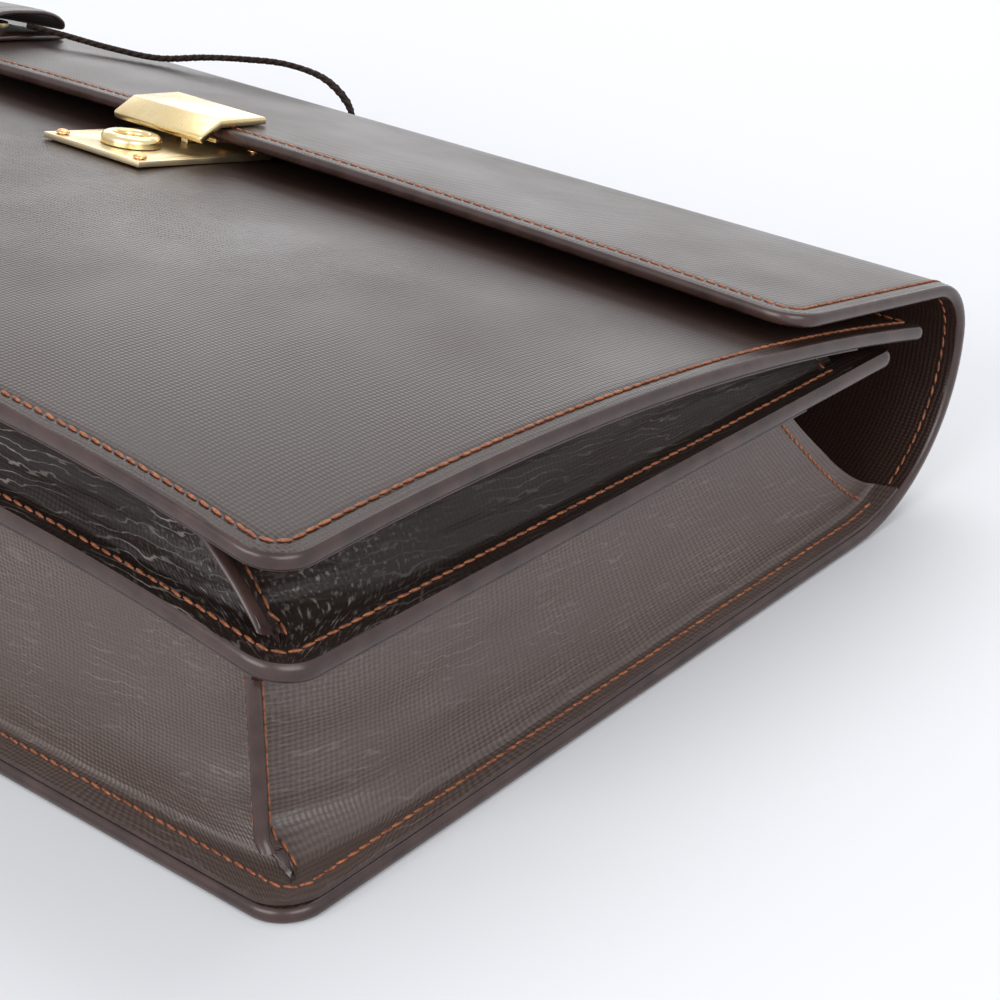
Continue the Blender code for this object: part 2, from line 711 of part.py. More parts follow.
hasp_bar = prism(side_on, hasp_outline(), -HASP_WIDTH / 2, HASP_WIDTH / 2)
add_object("hasp_front", hasp_bar, BRASS, hinge_frame)

back_top = -PANEL_THICK - CLEARANCE
back_low = back_top - HASP_BACK_THICK
back_u = (-HASP_BACK_WIDTH / 2, HASP_BACK_WIDTH / 2)
back_w = (HASP_BACK_INSET, HASP_BACK_INSET + HASP_BACK_LENGTH)
hasp_back = add_object("hasp_back", block(hem, back_u, back_w, back_low, back_top), BRASS, hinge_frame)
for number, u in enumerate((-HASP_RIVET_U, HASP_RIVET_U), 1):
    down = local_frame(hem @ Vector((u, HASP_RIVET_W, 0)), ACROSS, -up_flap)
    rivet(f"hasp_rivet_{number}", down, -back_low, (hasp_back, flap), COPPER, hinge_frame)

window_centre = hem.inverted() @ lock @ Vector((0, STAPLE_V, bolt_top - FINGER_THICK / 2))
window_w = FINGER_WIDTH / 2 + STAPLE_PLAY
window_n = FINGER_THICK / 2 + STAPLE_PLAY
staple_top = back_low - CLEARANCE
staple_low = window_centre.z - window_n - STAPLE_BAR
staple_w = (window_centre.y - STAPLE_LENGTH / 2, window_centre.y + STAPLE_LENGTH / 2)
thick = (-STAPLE_THICK / 2, STAPLE_THICK / 2)
staple_block = block(hem, thick, staple_w, staple_low, staple_top)
hasp_staple = add_object("hasp_staple", staple_block, BRASS, hinge_frame)
eye_w = (window_centre.y - window_w, window_centre.y + window_w)
eye_n = (window_centre.z - window_n, window_centre.z + window_n)
combine(hasp_staple, block(hem, grown(thick, STAPLE_THICK), eye_w, *eye_n), "DIFFERENCE")

# Handle: two riveted brackets with pins, an eye on each pin and a rolled leather grip between them
handle_out = Vector((0, cos(HANDLE_DROOP), -sin(HANDLE_DROOP)))
handle_up = Vector((0, sin(HANDLE_DROOP), cos(HANDLE_DROOP)))
handle_frame = empty("handle_pivot", centred(PIN_Y, PIN_Z))
for side, x in (("right", HANDLE_SPAN / 2), ("left", -HANDLE_SPAN / 2)):
    seat = local_frame(centred(BACK_FLAT + CURL_OUT, HANDLE_Z, x), -ACROSS, handle_up)
    pin_place = seat @ Matrix.Translation((0, 0, PIN_STAND))
    pin_frame = local_frame(pin_place.translation, handle_out, handle_up)
    wide, tall = BRACKET_WIDTH / 2, BRACKET_HEIGHT / 2
    plate_out = CLEARANCE + BRACKET_PLATE
    foot_plate = block(seat, (-wide, wide), (-tall, tall), CLEARANCE, plate_out)
    bracket = add_object(f"handle_bracket_{side}", foot_plate, BRASS)
    arc = [pi / 2 * k / 4 for k in range(-4, 5)]
    ear = [(EAR_RADIUS * cos(t), EAR_RADIUS * sin(t)) for t in arc]
    root = -PIN_OFFSET - BRACKET_PLATE / 2
    ear = [(root, -EAR_RADIUS)] + ear + [(root, EAR_RADIUS)]
    for low in (EAR_SPACING / 2, -EAR_SPACING / 2 - EAR_THICK):
        combine(bracket, prism(pin_frame, ear, low, low + EAR_THICK), "UNION")
    reach = EAR_SPACING / 2 + EAR_THICK
    combine(bracket, rod(pin_frame, PIN_RADIUS + CLEARANCE, -reach * 2, reach * 2), "DIFFERENCE")
    for end, u in (("inner", -1), ("outer", 1)):
        spot = seat @ Matrix.Translation((u * (wide - RIVET_EDGE), 0, 0))
        rivet(f"bracket_rivet_{side}_{end}", spot, plate_out, (bracket, back_panel), BRASS)

    head = reach + CLEARANCE
    cap = head + PIN_HEAD_THICK
    pin_profile = [(0, -cap), (PIN_HEAD, -cap), (PIN_HEAD, -head), (PIN_RADIUS, -head)]
    pin_profile += [(radius, -height) for radius, height in reversed(pin_profile)]
    add_object(f"handle_pin_{side}", turned(pin_frame, pin_profile, 16), BRASS)

    length = EAR_SPACING / 2 - CLEARANCE
    barrel = rod(pin_frame, EYE_RADIUS, -length, length, 20)
    eye = add_object(f"handle_eye_{side}", barrel, BRASS, handle_frame)
    neck_frame = local_frame(pin_place.translation, ACROSS, -handle_up)
    neck_end = EYE_RADIUS + EYE_NECK - CLEARANCE
    combine(eye, rod(neck_frame, EYE_NECK_RADIUS, EYE_RADIUS / 2, neck_end), "UNION")
    combine(eye, rod(pin_frame, PIN_RADIUS + CLEARANCE, -length * 2, length * 2), "DIFFERENCE")


def tube(rings):
    """A closed skin through rings of points, with flat ends."""
    bm = bmesh.new()
    made = [[bm.verts.new(p) for p in ring] for ring in rings]
    count = len(rings[0])
    for one, two in zip(made, made[1:]):
        for k in range(count):
            bm.faces.new((one[k], one[(k + 1) % count], two[(k + 1) % count], two[k]))
    bm.faces.new(made[0])
    bm.faces.new(made[-1][::-1])
    return bm


def grip_rings(steps=20, sides=16):
    """Rings of the grip, an arch that swells to its middle."""
    start = EYE_RADIUS + EYE_NECK
    rings = []
    for k in range(steps + 1):
        turn = pi * k / steps
        rise = start + (HANDLE_REACH - start) * sin(turn) ** GRIP_ARCH_POWER
        centre = handle_frame.location + ACROSS * HANDLE_SPAN / 2 * cos(turn) + handle_out * rise
        lean = ACROSS * cos(turn) ** 3 + handle_out * (1 - abs(cos(turn)) ** 3)
        lean.normalize()
        radius = GRIP_END_RADIUS + (GRIP_RADIUS - GRIP_END_RADIUS) * ease(2 * sin(turn) ** 2)
        angles = [HANDLE_DROOP + 2 * pi * n / sides for n in range(sides)]
        rings.append([centre + (lean * cos(a) + handle_up * sin(a)) * radius for a in angles])
    return rings


add_object("handle_grip", tube(grip_rings()), LEATHER, handle_frame)

# Zip of the pocket under the divider, with its slider near the right end
zip_slope = atan2(DIVIDER_SLOPE, 1)
zip_face = DIVIDER_HEIGHT - DIVIDER_SLOPE * ZIP_Y - DIVIDER_THICK
zip_along = Vector((0, cos(zip_slope), -sin(zip_slope)))
zip_place = local_frame(centred(ZIP_Y, zip_face), ACROSS, zip_along)
zip_span = (ZIP_LEFT_MARGIN - HALF_WIDTH, HALF_WIDTH - ZIP_RIGHT_MARGIN)
tape_low = -CLEARANCE - ZIP_TAPE_THICK
tape_v = (-ZIP_TAPE_WIDTH / 2, ZIP_TAPE_WIDTH / 2)
add_object("zip_tape", block(zip_place, zip_span, tape_v, tape_low, -CLEARANCE), TAPE)
teeth_top = tape_low - CLEARANCE
teeth_low = teeth_top - TEETH_THICK
teeth_v = (-TEETH_WIDTH / 2, TEETH_WIDTH / 2)
teeth_bar = block(zip_place, grown(zip_span, -TEETH_END), teeth_v, teeth_low, teeth_top)
add_object("zip_teeth", teeth_bar, NICKEL)

slider_x = zip_span[1] - TEETH_END - SLIDER_LENGTH / 2
slider_frame = empty("zip_slide", zip_place @ Vector((slider_x, 0, 0)))
slider_side = local_frame(zip_place @ Vector((slider_x, 0, 0)), zip_along, ACROSS.cross(zip_along))
inner_v = TEETH_WIDTH / 2 + CLEARANCE
outer_v = SLIDER_WIDTH / 2
floor_n = teeth_low - CLEARANCE
slider_outline = (
    (-outer_v, floor_n - SLIDER_THICK),
    (outer_v, floor_n - SLIDER_THICK),
    (outer_v, teeth_top),
    (inner_v, teeth_top),
    (inner_v, floor_n),
    (-inner_v, floor_n),
    (-inner_v, teeth_top),
    (-outer_v, teeth_top),
)
half_slider = SLIDER_LENGTH / 2
slider_bar = prism(slider_side, slider_outline, -half_slider, half_slider)
add_object("zip_slider", slider_bar, NICKEL, slider_frame)
pull_top = floor_n - SLIDER_THICK - CLEARANCE
pull_u = (slider_x - PULL_LENGTH + half_slider, slider_x + half_slider)
pull_v = (-PULL_WIDTH / 2, PULL_WIDTH / 2)
pull_bar = block(zip_place, pull_u, pull_v, pull_top - PULL_THICK, pull_top)
add_object("zip_pull", pull_bar, NICKEL, slider_frame)


# Key bell: a flat leaf on the flap and an arched leaf sewn to it along both sides
def on_flap(x, y, lift):
    """A point above the flap's outer face."""
    end_y, end_z, _, _ = flap_place(0.0)
    run = (end_y - y) / cos(FLAP_SLOPE)
    crown = FLAP_CROWN * ease(run / FLAP_CROWN_RUN) * (1 - (x / HALF_WIDTH) ** 2)
    z = end_z + run * sin(FLAP_SLOPE) + crown
    return centred(y + lift * sin(FLAP_SLOPE), z + lift * cos(FLAP_SLOPE), x)


def bell_point(along, across, lift):
    """A point of the bell: along from its mouth to its neck, across from its middle."""
    x = BELL_X + along * cos(BELL_TURN) - across * sin(BELL_TURN)
    y = BELL_Y + along * sin(BELL_TURN) + across * cos(BELL_TURN)
    return on_flap(x, y, lift)


def bell_leaf(name, height):
    """One leaf of the bell, whose underside follows a height function."""
    low, high = [], []
    for k in range(9):
        share = k / 8
        half = BELL_MOUTH_WIDTH / 2 + (BELL_NECK_WIDTH - BELL_MOUTH_WIDTH) / 2 * ease(share)
        line = [(share * BELL_LENGTH, half * t / 5, height(share, t / 5)) for t in range(-5, 6)]
        low.append([bell_point(*p) for p in line])
        high.append([bell_point(a, c, lift + BELL_LEAF) for a, c, lift in line])
    return add_object(name, slab(high, low), LEATHER, hinge_frame)


def bell_hollow(share, side):
    """Height of the bell's hollow over its lower leaf."""
    return BELL_GAP * (1 - side ** 4) * (1 - BELL_TAPER * share ** 2)


bell_leaf("bell_back", lambda share, side: CLEARANCE)
bell_leaf("bell_front", lambda share, side: CLEARANCE * 2 + BELL_LEAF + bell_hollow(share, side))

key_lift = CLEARANCE * 2 + BELL_LEAF
key_head = bell_point(KEY_INSET, 0, key_lift)
key_axis = (bell_point(KEY_INSET + KEY_LENGTH, 0, key_lift) - key_head).normalized()
key_side = (bell_point(KEY_INSET, KEY_BOW_RADIUS, key_lift) - key_head).normalized()
key_across = (key_side - key_axis * key_side.dot(key_axis)).normalized()
key_place = local_frame(key_head, key_axis, key_across)


def key_outline():
    """A round bow, a stem and a bit, with the bow's middle at the origin."""
    half = KEY_STEM / 2
    root = asin(half / KEY_BOW_RADIUS)
    turns = [root + (2 * pi - 2 * root) * k / 20 for k in range(21)]
    end = KEY_LENGTH - KEY_BOW_RADIUS
    outline = [(KEY_BOW_RADIUS * cos(t), KEY_BOW_RADIUS * sin(t)) for t in turns]
    outline += [(end, -half), (end, half), (end - half, half), (end - half, KEY_BIT)]
    return outline + [(end - KEY_BIT_LENGTH, KEY_BIT), (end - KEY_BIT_LENGTH, half)]


key_blank = prism(key_place, key_outline(), CLEARANCE, CLEARANCE + KEY_THICK)
key = add_object("key", key_blank, BRASS, hinge_frame)
combine(key, rod(key_place, KEY_HOLE_RADIUS, -KEY_THICK, KEY_THICK * 3), "DIFFERENCE")

# Doubled cord: out of the bell's mouth, over the top turn and down to the left handle bracket
CORD_ON_FLAP = (
    (-0.1130, 0.2100, 0.0046),
    (-0.1040, 0.2150, 0.0040),
    (-0.0900, 0.2230, 0.0026),
    (-0.0760, 0.2310, 0.0022),
)
CORD_OVER_EDGE = (
    (-0.0640, 0.2400, 0.0655),
    (-0.0540, 0.2480, 0.0650),
    (-0.0420, 0.2545, 0.0642),
    (-0.0290, 0.2580, 0.0612),
    (-0.0200, 0.2590, 0.0540),
    (-0.0190, 0.2580, 0.0455),
    (-0.0260, 0.2570, 0.0364),
    (-0.0370, 0.2565, 0.0309),
    (-0.0440, 0.2565, 0.0289),
)
CORD_LIE = Vector((0, 0.45, 1))


def cord_route(shift):
    """Smooth points along one strand, moved sideways by its share of the spacing."""
    knots = [on_flap(x, y, lift) for x, y, lift in CORD_ON_FLAP]
    knots += [centred(y, z, x) for x, y, z in CORD_OVER_EDGE]
    ends = [knots[0] * 2 - knots[1]] + knots + [knots[-1] * 2 - knots[-2]]
    points = []
    for a, b, c, d in zip(ends, ends[1:], ends[2:], ends[3:]):
        count = max(2, round((c - b).length / CORD_STEP))
        for k in range(count):
            t = k / count
            bend = b * 2 + (c - a) * t + (a * 2 - b * 5 + c * 4 - d) * t ** 2
            points.append((bend + (b * 3 - c * 3 + d - a) * t ** 3) / 2)
    points.append(knots[-1])
    moved = []
    for k, point in enumerate(points):
        ahead = points[min(k + 1, len(points) - 1)] - points[max(k - 1, 0)]
        aside = ahead.cross(CORD_LIE).normalized()
        moved.append(point + aside * shift)
    return moved


def cord_tube(name, points, carrier=None):
    """A round cord along a line of points."""
    curve = bpy.data.curves.new(name, "CURVE")
    curve.dimensions = "3D"
    curve.bevel_depth = CORD_DIAMETER / 2
    curve.bevel_resolution = 2
    curve.use_fill_caps = True
    spline = curve.splines.new("POLY")
    spline.points.add(len(points) - 1)
    home = carrier.location if carrier else Vector()
    for made, point in zip(spline.points, points):
        made.co = (*(point - home), 1)
    curve.materials.append(CORD)
    cord = bpy.data.objects.new(name, curve)
    bpy.context.collection.objects.link(cord)
    cord.parent = carrier


for strand, shift in (("front", CORD_SPACING / 2), ("back", -CORD_SPACING / 2)):
    route = cord_route(shift)
    split = next(k for k, p in enumerate(route) if p.y + MIDDLE_Y > HINGE_Y - 2 * CORD_DIAMETER)
    cord_tube(f"cord_{strand}", route[: split + 1], hinge_frame)
    rest = route[split:]
    rest[0] = rest[0] + (rest[1] - rest[0]).normalized() * CLEARANCE
    cord_tube(f"cord_{strand}_end", rest)
knot_place = Matrix.Translation(cord_route(0.0)[-1] - ACROSS * (KNOT_RADIUS + CLEARANCE))
globe = [(KNOT_RADIUS * cos(t), KNOT_RADIUS * sin(t)) for t in (-1.0, -0.5, 0.0, 0.5, 1.0)]
knot_profile = [(0, -KNOT_RADIUS)] + globe + [(0, KNOT_RADIUS)]
add_object("cord_knot", turned(knot_place, knot_profile, 12), CORD)
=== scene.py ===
from bisect import bisect_right
from math import atan2, copysign, cos, dist, exp, hypot, pi, radians, sin, sqrt

import bmesh
import bpy
from mathutils import Matrix, Vector, noise


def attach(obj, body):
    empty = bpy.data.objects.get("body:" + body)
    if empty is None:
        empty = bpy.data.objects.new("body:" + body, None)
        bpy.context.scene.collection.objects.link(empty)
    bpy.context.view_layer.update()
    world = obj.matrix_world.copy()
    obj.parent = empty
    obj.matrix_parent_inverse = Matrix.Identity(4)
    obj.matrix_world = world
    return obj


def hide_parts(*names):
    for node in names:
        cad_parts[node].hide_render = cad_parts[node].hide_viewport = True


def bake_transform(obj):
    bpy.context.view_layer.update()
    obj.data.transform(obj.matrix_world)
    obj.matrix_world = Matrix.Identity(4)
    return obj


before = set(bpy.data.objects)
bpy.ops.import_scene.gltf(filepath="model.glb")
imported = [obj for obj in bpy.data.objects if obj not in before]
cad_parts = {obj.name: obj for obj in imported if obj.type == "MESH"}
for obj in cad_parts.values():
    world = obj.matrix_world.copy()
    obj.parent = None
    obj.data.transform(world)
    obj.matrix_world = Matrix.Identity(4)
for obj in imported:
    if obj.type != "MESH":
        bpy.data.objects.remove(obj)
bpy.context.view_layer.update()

scene = bpy.context.scene
scene.view_settings.view_transform = "Standard"

# Camera: a longish lens looking down on the bottom right corner of the case,
# which lies on its back on a pale table top.
LENS = 85.06
EYE = Vector((0.4719, -0.4083, 0.2901))
SIGHT = Vector((-0.56882, 0.67659, -0.46762))


def add_object(name, data):
    """A new object in the scene."""
    made = bpy.data.objects.new(name, data)
    scene.collection.objects.link(made)
    return made


camera_data = bpy.data.cameras.new("camera")
camera_data.lens = LENS
camera_data.sensor_width = 36
camera = add_object("camera", camera_data)
camera.matrix_world = Matrix.Translation(EYE) @ SIGHT.to_track_quat("-Z", "Y").to_matrix().to_4x4()
scene.camera = camera


def wire(tree, kind, sockets=None, **settings):
    """Add a node, set its settings, and set or link its sockets."""
    node = tree.nodes.new(kind)
    for name, value in settings.items():
        setattr(node, name, value)
    for key, value in (sockets or {}).items():
        if isinstance(value, bpy.types.NodeSocket):
            tree.links.new(value, node.inputs[key])
        else:
            node.inputs[key].default_value = value
    return node


def reckon(tree, operation, *terms):
    """One sum of a Math node."""
    return wire(tree, "ShaderNodeMath", dict(enumerate(terms)), operation=operation).outputs[0]


def remap(tree, value, *limits):
    """A value carried from one range to another, which is 0 to 1 if it isn't named."""
    return wire(tree, "ShaderNodeMapRange", dict(enumerate((value, *limits)))).outputs[0]


def object_place(tree):
    """Place in the frame of the object."""
    return wire(tree, "ShaderNodeTexCoord").outputs["Object"]


def shown_rays(tree):
    """1 for what the camera and mirror images show, 0 for light that falls on things."""
    rays = wire(tree, "ShaderNodeLightPath")
    return reckon(tree, "MAXIMUM", rays.outputs["Is Camera Ray"], rays.outputs["Is Glossy Ray"])


def finish_of(name, roughness, metallic=0.0):
    """A new material and its shader."""
    made = bpy.data.materials.new(name)
    made.use_nodes = True
    shader = made.node_tree.nodes["Principled BSDF"]
    shader.inputs["Roughness"].default_value = roughness
    shader.inputs["Metallic"].default_value = metallic
    return made, made.node_tree, shader


# Table top and light: a matte white board, white far off too, under a large soft lamp overhead and
# softer ones at the side, in front and low behind, in a pale room that shows white in the brass.
TABLE_HALF, TABLE_COLOUR = 4, (0.80, 0.81, 0.84, 1)
FAR_START, FAR_END, FAR_GLOW = 1.3, 2.6, 0.5
ROOM_COLOUR, ROOM_LIGHT, ROOM_SHOWN = (0.95, 0.97, 1, 1), 0.50, 0.50
LAMPS = (
    ("top_lamp", (-0.25, 0.75, 1.35), (0, 0, 0), (1.4, 1.0), 10.5),
    ("side_lamp", (1.4, -0.5, 0.75), (0.1, -0.05, 0.03), (1.0, 0.8), 10),
    ("front_lamp", (0.1, -1.5, 0.75), (0, -0.1, 0.03), (1.2, 0.8), 14),
    ("back_lamp", (-1.0, 1.5, 0.42), (0, 0, 0.06), (2.4, 0.7), 8),
)
board_mesh = bpy.data.meshes.new("table_top")
board_corners = [(u * TABLE_HALF, v * TABLE_HALF, 0) for u, v in ((-1, -1), (1, -1), (1, 1), (-1, 1))]
board_mesh.from_pydata(board_corners, [], [(0, 1, 2, 3)])
table_top = add_object("table_top", board_mesh)
table_finish, table_tree, table_shader = finish_of("table_white", 0.7)
table_shader.inputs["Base Color"].default_value = TABLE_COLOUR
table_reach = wire(table_tree, "ShaderNodeVectorMath", {0: object_place(table_tree)}, operation="LENGTH")
table_far = remap(table_tree, table_reach.outputs["Value"], FAR_START, FAR_END, 0.0, FAR_GLOW)
table_glow = reckon(table_tree, "MULTIPLY", table_far, shown_rays(table_tree))
table_shader.inputs["Emission Color"].default_value = (1, 1, 1, 1)
table_tree.links.new(table_glow, table_shader.inputs["Emission Strength"])
board_mesh.materials.append(table_finish)

room = bpy.data.worlds.new("pale_room")
scene.world = room
room.use_nodes = True
room_tree = room.node_tree
room_tree.nodes.clear()
strength = reckon(room_tree, "MULTIPLY_ADD", shown_rays(room_tree), ROOM_SHOWN, ROOM_LIGHT)
glow = wire(room_tree, "ShaderNodeBackground", {"Color": ROOM_COLOUR, "Strength": strength})
wire(room_tree, "ShaderNodeOutputWorld", {"Surface": glow.outputs[0]})

for name, place, aim, size, power in LAMPS:
    lamp_data = bpy.data.lights.new(name, "AREA")
    lamp_data.shape = "RECTANGLE"
    lamp_data.size, lamp_data.size_y = size
    lamp_data.energy = power
    lamp = add_object(name, lamp_data)
    lamp.location = place
    lamp.rotation_euler = (Vector(aim) - Vector(place)).to_track_quat("-Z", "Y").to_euler()


# Leather: calf hide pressed with a fine cross grain, dyed dark brown, with painted cut edges.
# The grain follows the hide's own map, in metres, so that it runs on round every bend.
def new_group(name, inputs, outputs):
    """A shader group with named sockets: its tree, its input node and its output node."""
    tree = bpy.data.node_groups.new(name, "ShaderNodeTree")
    for way, sockets in (("INPUT", inputs), ("OUTPUT", outputs)):
        for socket, kind in sockets:
            tree.interface.new_socket(socket, in_out=way, socket_type=kind)
    return tree, tree.nodes.new("NodeGroupInput"), tree.nodes.new("NodeGroupOutput")


def cloud(tree, place, scale, detail):
    """Noise from 0 to 1."""
    sockets = {"Vector": place, "Scale": scale, "Detail": detail}
    return wire(tree, "ShaderNodeTexNoise", sockets).outputs["Fac"]


def stretched(tree, place, scale, turn=(0, 0, 0)):
    """A place turned and scaled for a pattern that runs one way."""
    return wire(tree, "ShaderNodeMapping", {"Vector": place, "Rotation": turn, "Scale": scale}).outputs[0]


def hide_place(tree):
    """Place on a piece's own map, in metres."""
    return wire(tree, "ShaderNodeUVMap", uv_map="hide").outputs[0]


def mixed(tree, factor, one, two):
    """One colour blended into another."""
    return wire(tree, "ShaderNodeMix", {"Factor": factor, "A": one, "B": two}, data_type="RGBA").outputs[2]


def raised(tree, shader, height, strength, distance=0.0002):
    """Let a height show as bumps."""
    bump = wire(tree, "ShaderNodeBump", {"Strength": strength, "Distance": distance, "Height": height})
    tree.links.new(bump.outputs[0], shader.inputs["Normal"])


def lay_tones(tree, shader, value, dark, pale):
    """Colour by a value between two tones, each led by its place on the scale."""
    ramp = wire(tree, "ShaderNodeValToRGB", {0: value})
    for element, (place, *tone) in zip(ramp.color_ramp.elements, (dark, pale)):
        element.position = place
        element.color = (*tone, 1)
    tree.links.new(ramp.outputs[0], shader.inputs["Base Color"])


FLOAT, VECTOR = "NodeSocketFloat", "NodeSocketVector"
GRAIN_PITCH, GRAIN_WANDER, GRAIN_LEVEL = 0.00125, 0.0022, 0.35
ACROSS_DEPTH, ALONG_DEPTH, ALONG_CLOSER, PORE_DEPTH = 0.28, 0.22, 1.2, 0.35
grain, grain_in, grain_out = new_group(
    "pressed_grain", (("Place", VECTOR), ("Depth", FLOAT)), (("Height", FLOAT), ("Tone", FLOAT))
)
grain_place = grain_in.outputs["Place"]
wander = reckon(grain, "SUBTRACT", cloud(grain, grain_place, 60.0, 3.0), 0.5)
wander = reckon(grain, "MULTIPLY", wander, GRAIN_WANDER)
split = wire(grain, "ShaderNodeSeparateXYZ", {0: grain_place})
ridges = []
for axis, pitch, depth in ((0, GRAIN_PITCH, ACROSS_DEPTH), (1, GRAIN_PITCH / ALONG_CLOSER, ALONG_DEPTH)):
    phase = reckon(grain, "ADD", split.outputs[axis], wander)
    wave = reckon(grain, "SINE", reckon(grain, "MULTIPLY", phase, 2 * pi / pitch))
    ridges.append(reckon(grain, "MULTIPLY", wave, depth))
worn = remap(grain, cloud(grain, grain_place, 28.0, 4.0), 0.3, 0.65, 0.35, 1.0)
ridges = reckon(grain, "MULTIPLY", reckon(grain, "ADD", *ridges), worn)
ridges = reckon(grain, "MULTIPLY", ridges, grain_in.outputs["Depth"])
pores = reckon(grain, "MULTIPLY_ADD", cloud(grain, grain_place, 1500.0, 2.0), PORE_DEPTH, GRAIN_LEVEL)
grain.links.new(reckon(grain, "ADD", ridges, pores), grain_out.inputs["Height"])
grain.links.new(cloud(grain, grain_place, 14.0, 5.0), grain_out.inputs["Tone"])

CREASE_PITCH, CREASE_SLANT, CREASE_WANDER, CREASE_STRETCH = 0.0021, 0.020, 22.0, (70, 240, 1)
SCUFF_MIDDLE, SCUFF_NEAR, SCUFF_FAR = (0.190, -0.136, 0.066), 0.006, 0.042
WORN_COLOUR = (0.30, 0.27, 0.25, 1)
creases, creases_in, creases_out = new_group(
    "worn_creases", (("Place", VECTOR),), (("Line", FLOAT), ("Scuff", FLOAT))
)
crease_place = creases_in.outputs["Place"]
split = wire(creases, "ShaderNodeSeparateXYZ", {0: crease_place})
phase = reckon(creases, "MULTIPLY", split.outputs[1], 2 * pi / CREASE_PITCH)
phase = reckon(creases, "MULTIPLY_ADD", split.outputs[0], 2 * pi / CREASE_SLANT, phase)
wander = cloud(creases, stretched(creases, crease_place, CREASE_STRETCH), 1.0, 3.0)
phase = reckon(creases, "MULTIPLY_ADD", wander, CREASE_WANDER, phase)
line = remap(creases, reckon(creases, "SINE", phase), 0.80, 1.0)
patches = remap(creases, cloud(creases, crease_place, 45.0, 2.0), 0.40, 0.66)
creases.links.new(reckon(creases, "MULTIPLY", line, patches), creases_out.inputs["Line"])
specks = remap(creases, cloud(creases, crease_place, 900.0, 5.0), 0.55, 0.78)
reach = wire(
    creases, "ShaderNodeVectorMath", {0: object_place(creases), 1: SCUFF_MIDDLE}, operation="DISTANCE"
)
reach = remap(creases, reach.outputs["Value"], SCUFF_NEAR, SCUFF_FAR, 1.0, 0.0)
creases.links.new(reckon(creases, "MULTIPLY", specks, reach), creases_out.inputs["Scuff"])

WORN_SHARE, CREASE_LIFT = 0.8, 1.2
GRAIN_BUMP, GRAIN_BUMP_DEPTH = 0.42, 0.00035


def hide_finish(name, dark, pale, roughness, depth, sheen, creased=None):
    """Grained leather: darker in the grain, paler where it is rubbed, and creased and scuffed if soft."""
    made, tree, shader = finish_of(name, roughness)
    shader.inputs["Specular IOR Level"].default_value = sheen
    place = hide_place(tree)
    pressed = wire(tree, "ShaderNodeGroup", {"Place": place, "Depth": depth}, node_tree=grain)
    height, tone = pressed.outputs["Height"], pressed.outputs["Tone"]
    rubbed = remap(tree, reckon(tree, "MULTIPLY", height, tone), 0.08, 0.55)
    colour = mixed(tree, rubbed, (*dark, 1), (*pale, 1))
    if creased is not None:
        wear = wire(tree, "ShaderNodeGroup", {"Place": place}, node_tree=creases)
        line = reckon(tree, "MULTIPLY", wear.outputs["Line"], creased)
        marks = reckon(tree, "MULTIPLY", reckon(tree, "MAXIMUM", line, wear.outputs["Scuff"]), WORN_SHARE)
        colour = mixed(tree, marks, colour, WORN_COLOUR)
        height = reckon(tree, "MULTIPLY_ADD", line, CREASE_LIFT, height)
    tree.links.new(colour, shader.inputs["Base Color"])
    gloss = remap(tree, tone, 0.3, 0.7, roughness - 0.06, roughness + 0.08)
    tree.links.new(gloss, shader.inputs["Roughness"])
    raised(tree, shader, height, GRAIN_BUMP, GRAIN_BUMP_DEPTH)
    return made


hide = hide_finish("brown_hide", (0.021, 0.0108, 0.0084), (0.050, 0.0275, 0.0210), 0.37, 1.0, 0.36)

edge_paint, edge_tree, edge_shader = finish_of("painted_edge", 0.27)
edge_spots = cloud(edge_tree, object_place(edge_tree), 130.0, 4.0)
lay_tones(edge_tree, edge_shader, edge_spots, (0.35, 0.028, 0.0135, 0.011), (0.65, 0.054, 0.028, 0.0235))
raised(edge_tree, edge_shader, edge_spots, 0.3)

# Back panel and flap: one long piece of leather that curls up behind the top edge, turns over
# and comes down on the front as the flap. Its edges are painted and it is sewn all round.
MIDDLE_Y = 0.1552388
HALF_WIDTH = 0.205
LEATHER_THICK = 0.0036
BACK_FLAT = 0.205
CURL_REACH, CURL_RISE = 0.046, 0.0447
TURN_RADIUS, TURN_ANGLE = 0.017, radians(78.8)
FLAP_LENGTH = 0.0678
FLAP_SLOPE = pi / 2 - TURN_ANGLE
FLAP_CROWN, FLAP_CROWN_RUN = 0.0035917, 0.048
CORNER_RADIUS, TOP_CORNER_RADIUS, BOARD_TOP_RADIUS = 0.0105, 0.010, 0.004
CURL_STEPS, TURN_STEPS = 80, 40


def placed(x, y, z):
    """A point measured from the middle of the bottom edge, in the frame of the object."""
    return Vector((x, y - MIDDLE_Y, z))


def ease(t):
    """Smooth step from 0 to 1."""
    t = min(1.0, max(0.0, t))
    return t * t * (3 - 2 * t)


def runs_of(points):
    """Distance along a line of points, for each of them."""
    runs = [0.0]
    for one, two in zip(points, points[1:]):
        runs.append(runs[-1] + dist(one, two))
    return runs


def locate(runs, at):
    """Which two points of a line a distance falls between, and how far on from the first."""
    k = min(max(bisect_right(runs, at) - 1, 0), len(runs) - 2)
    return k, (at - runs[k]) / (runs[k + 1] - runs[k])


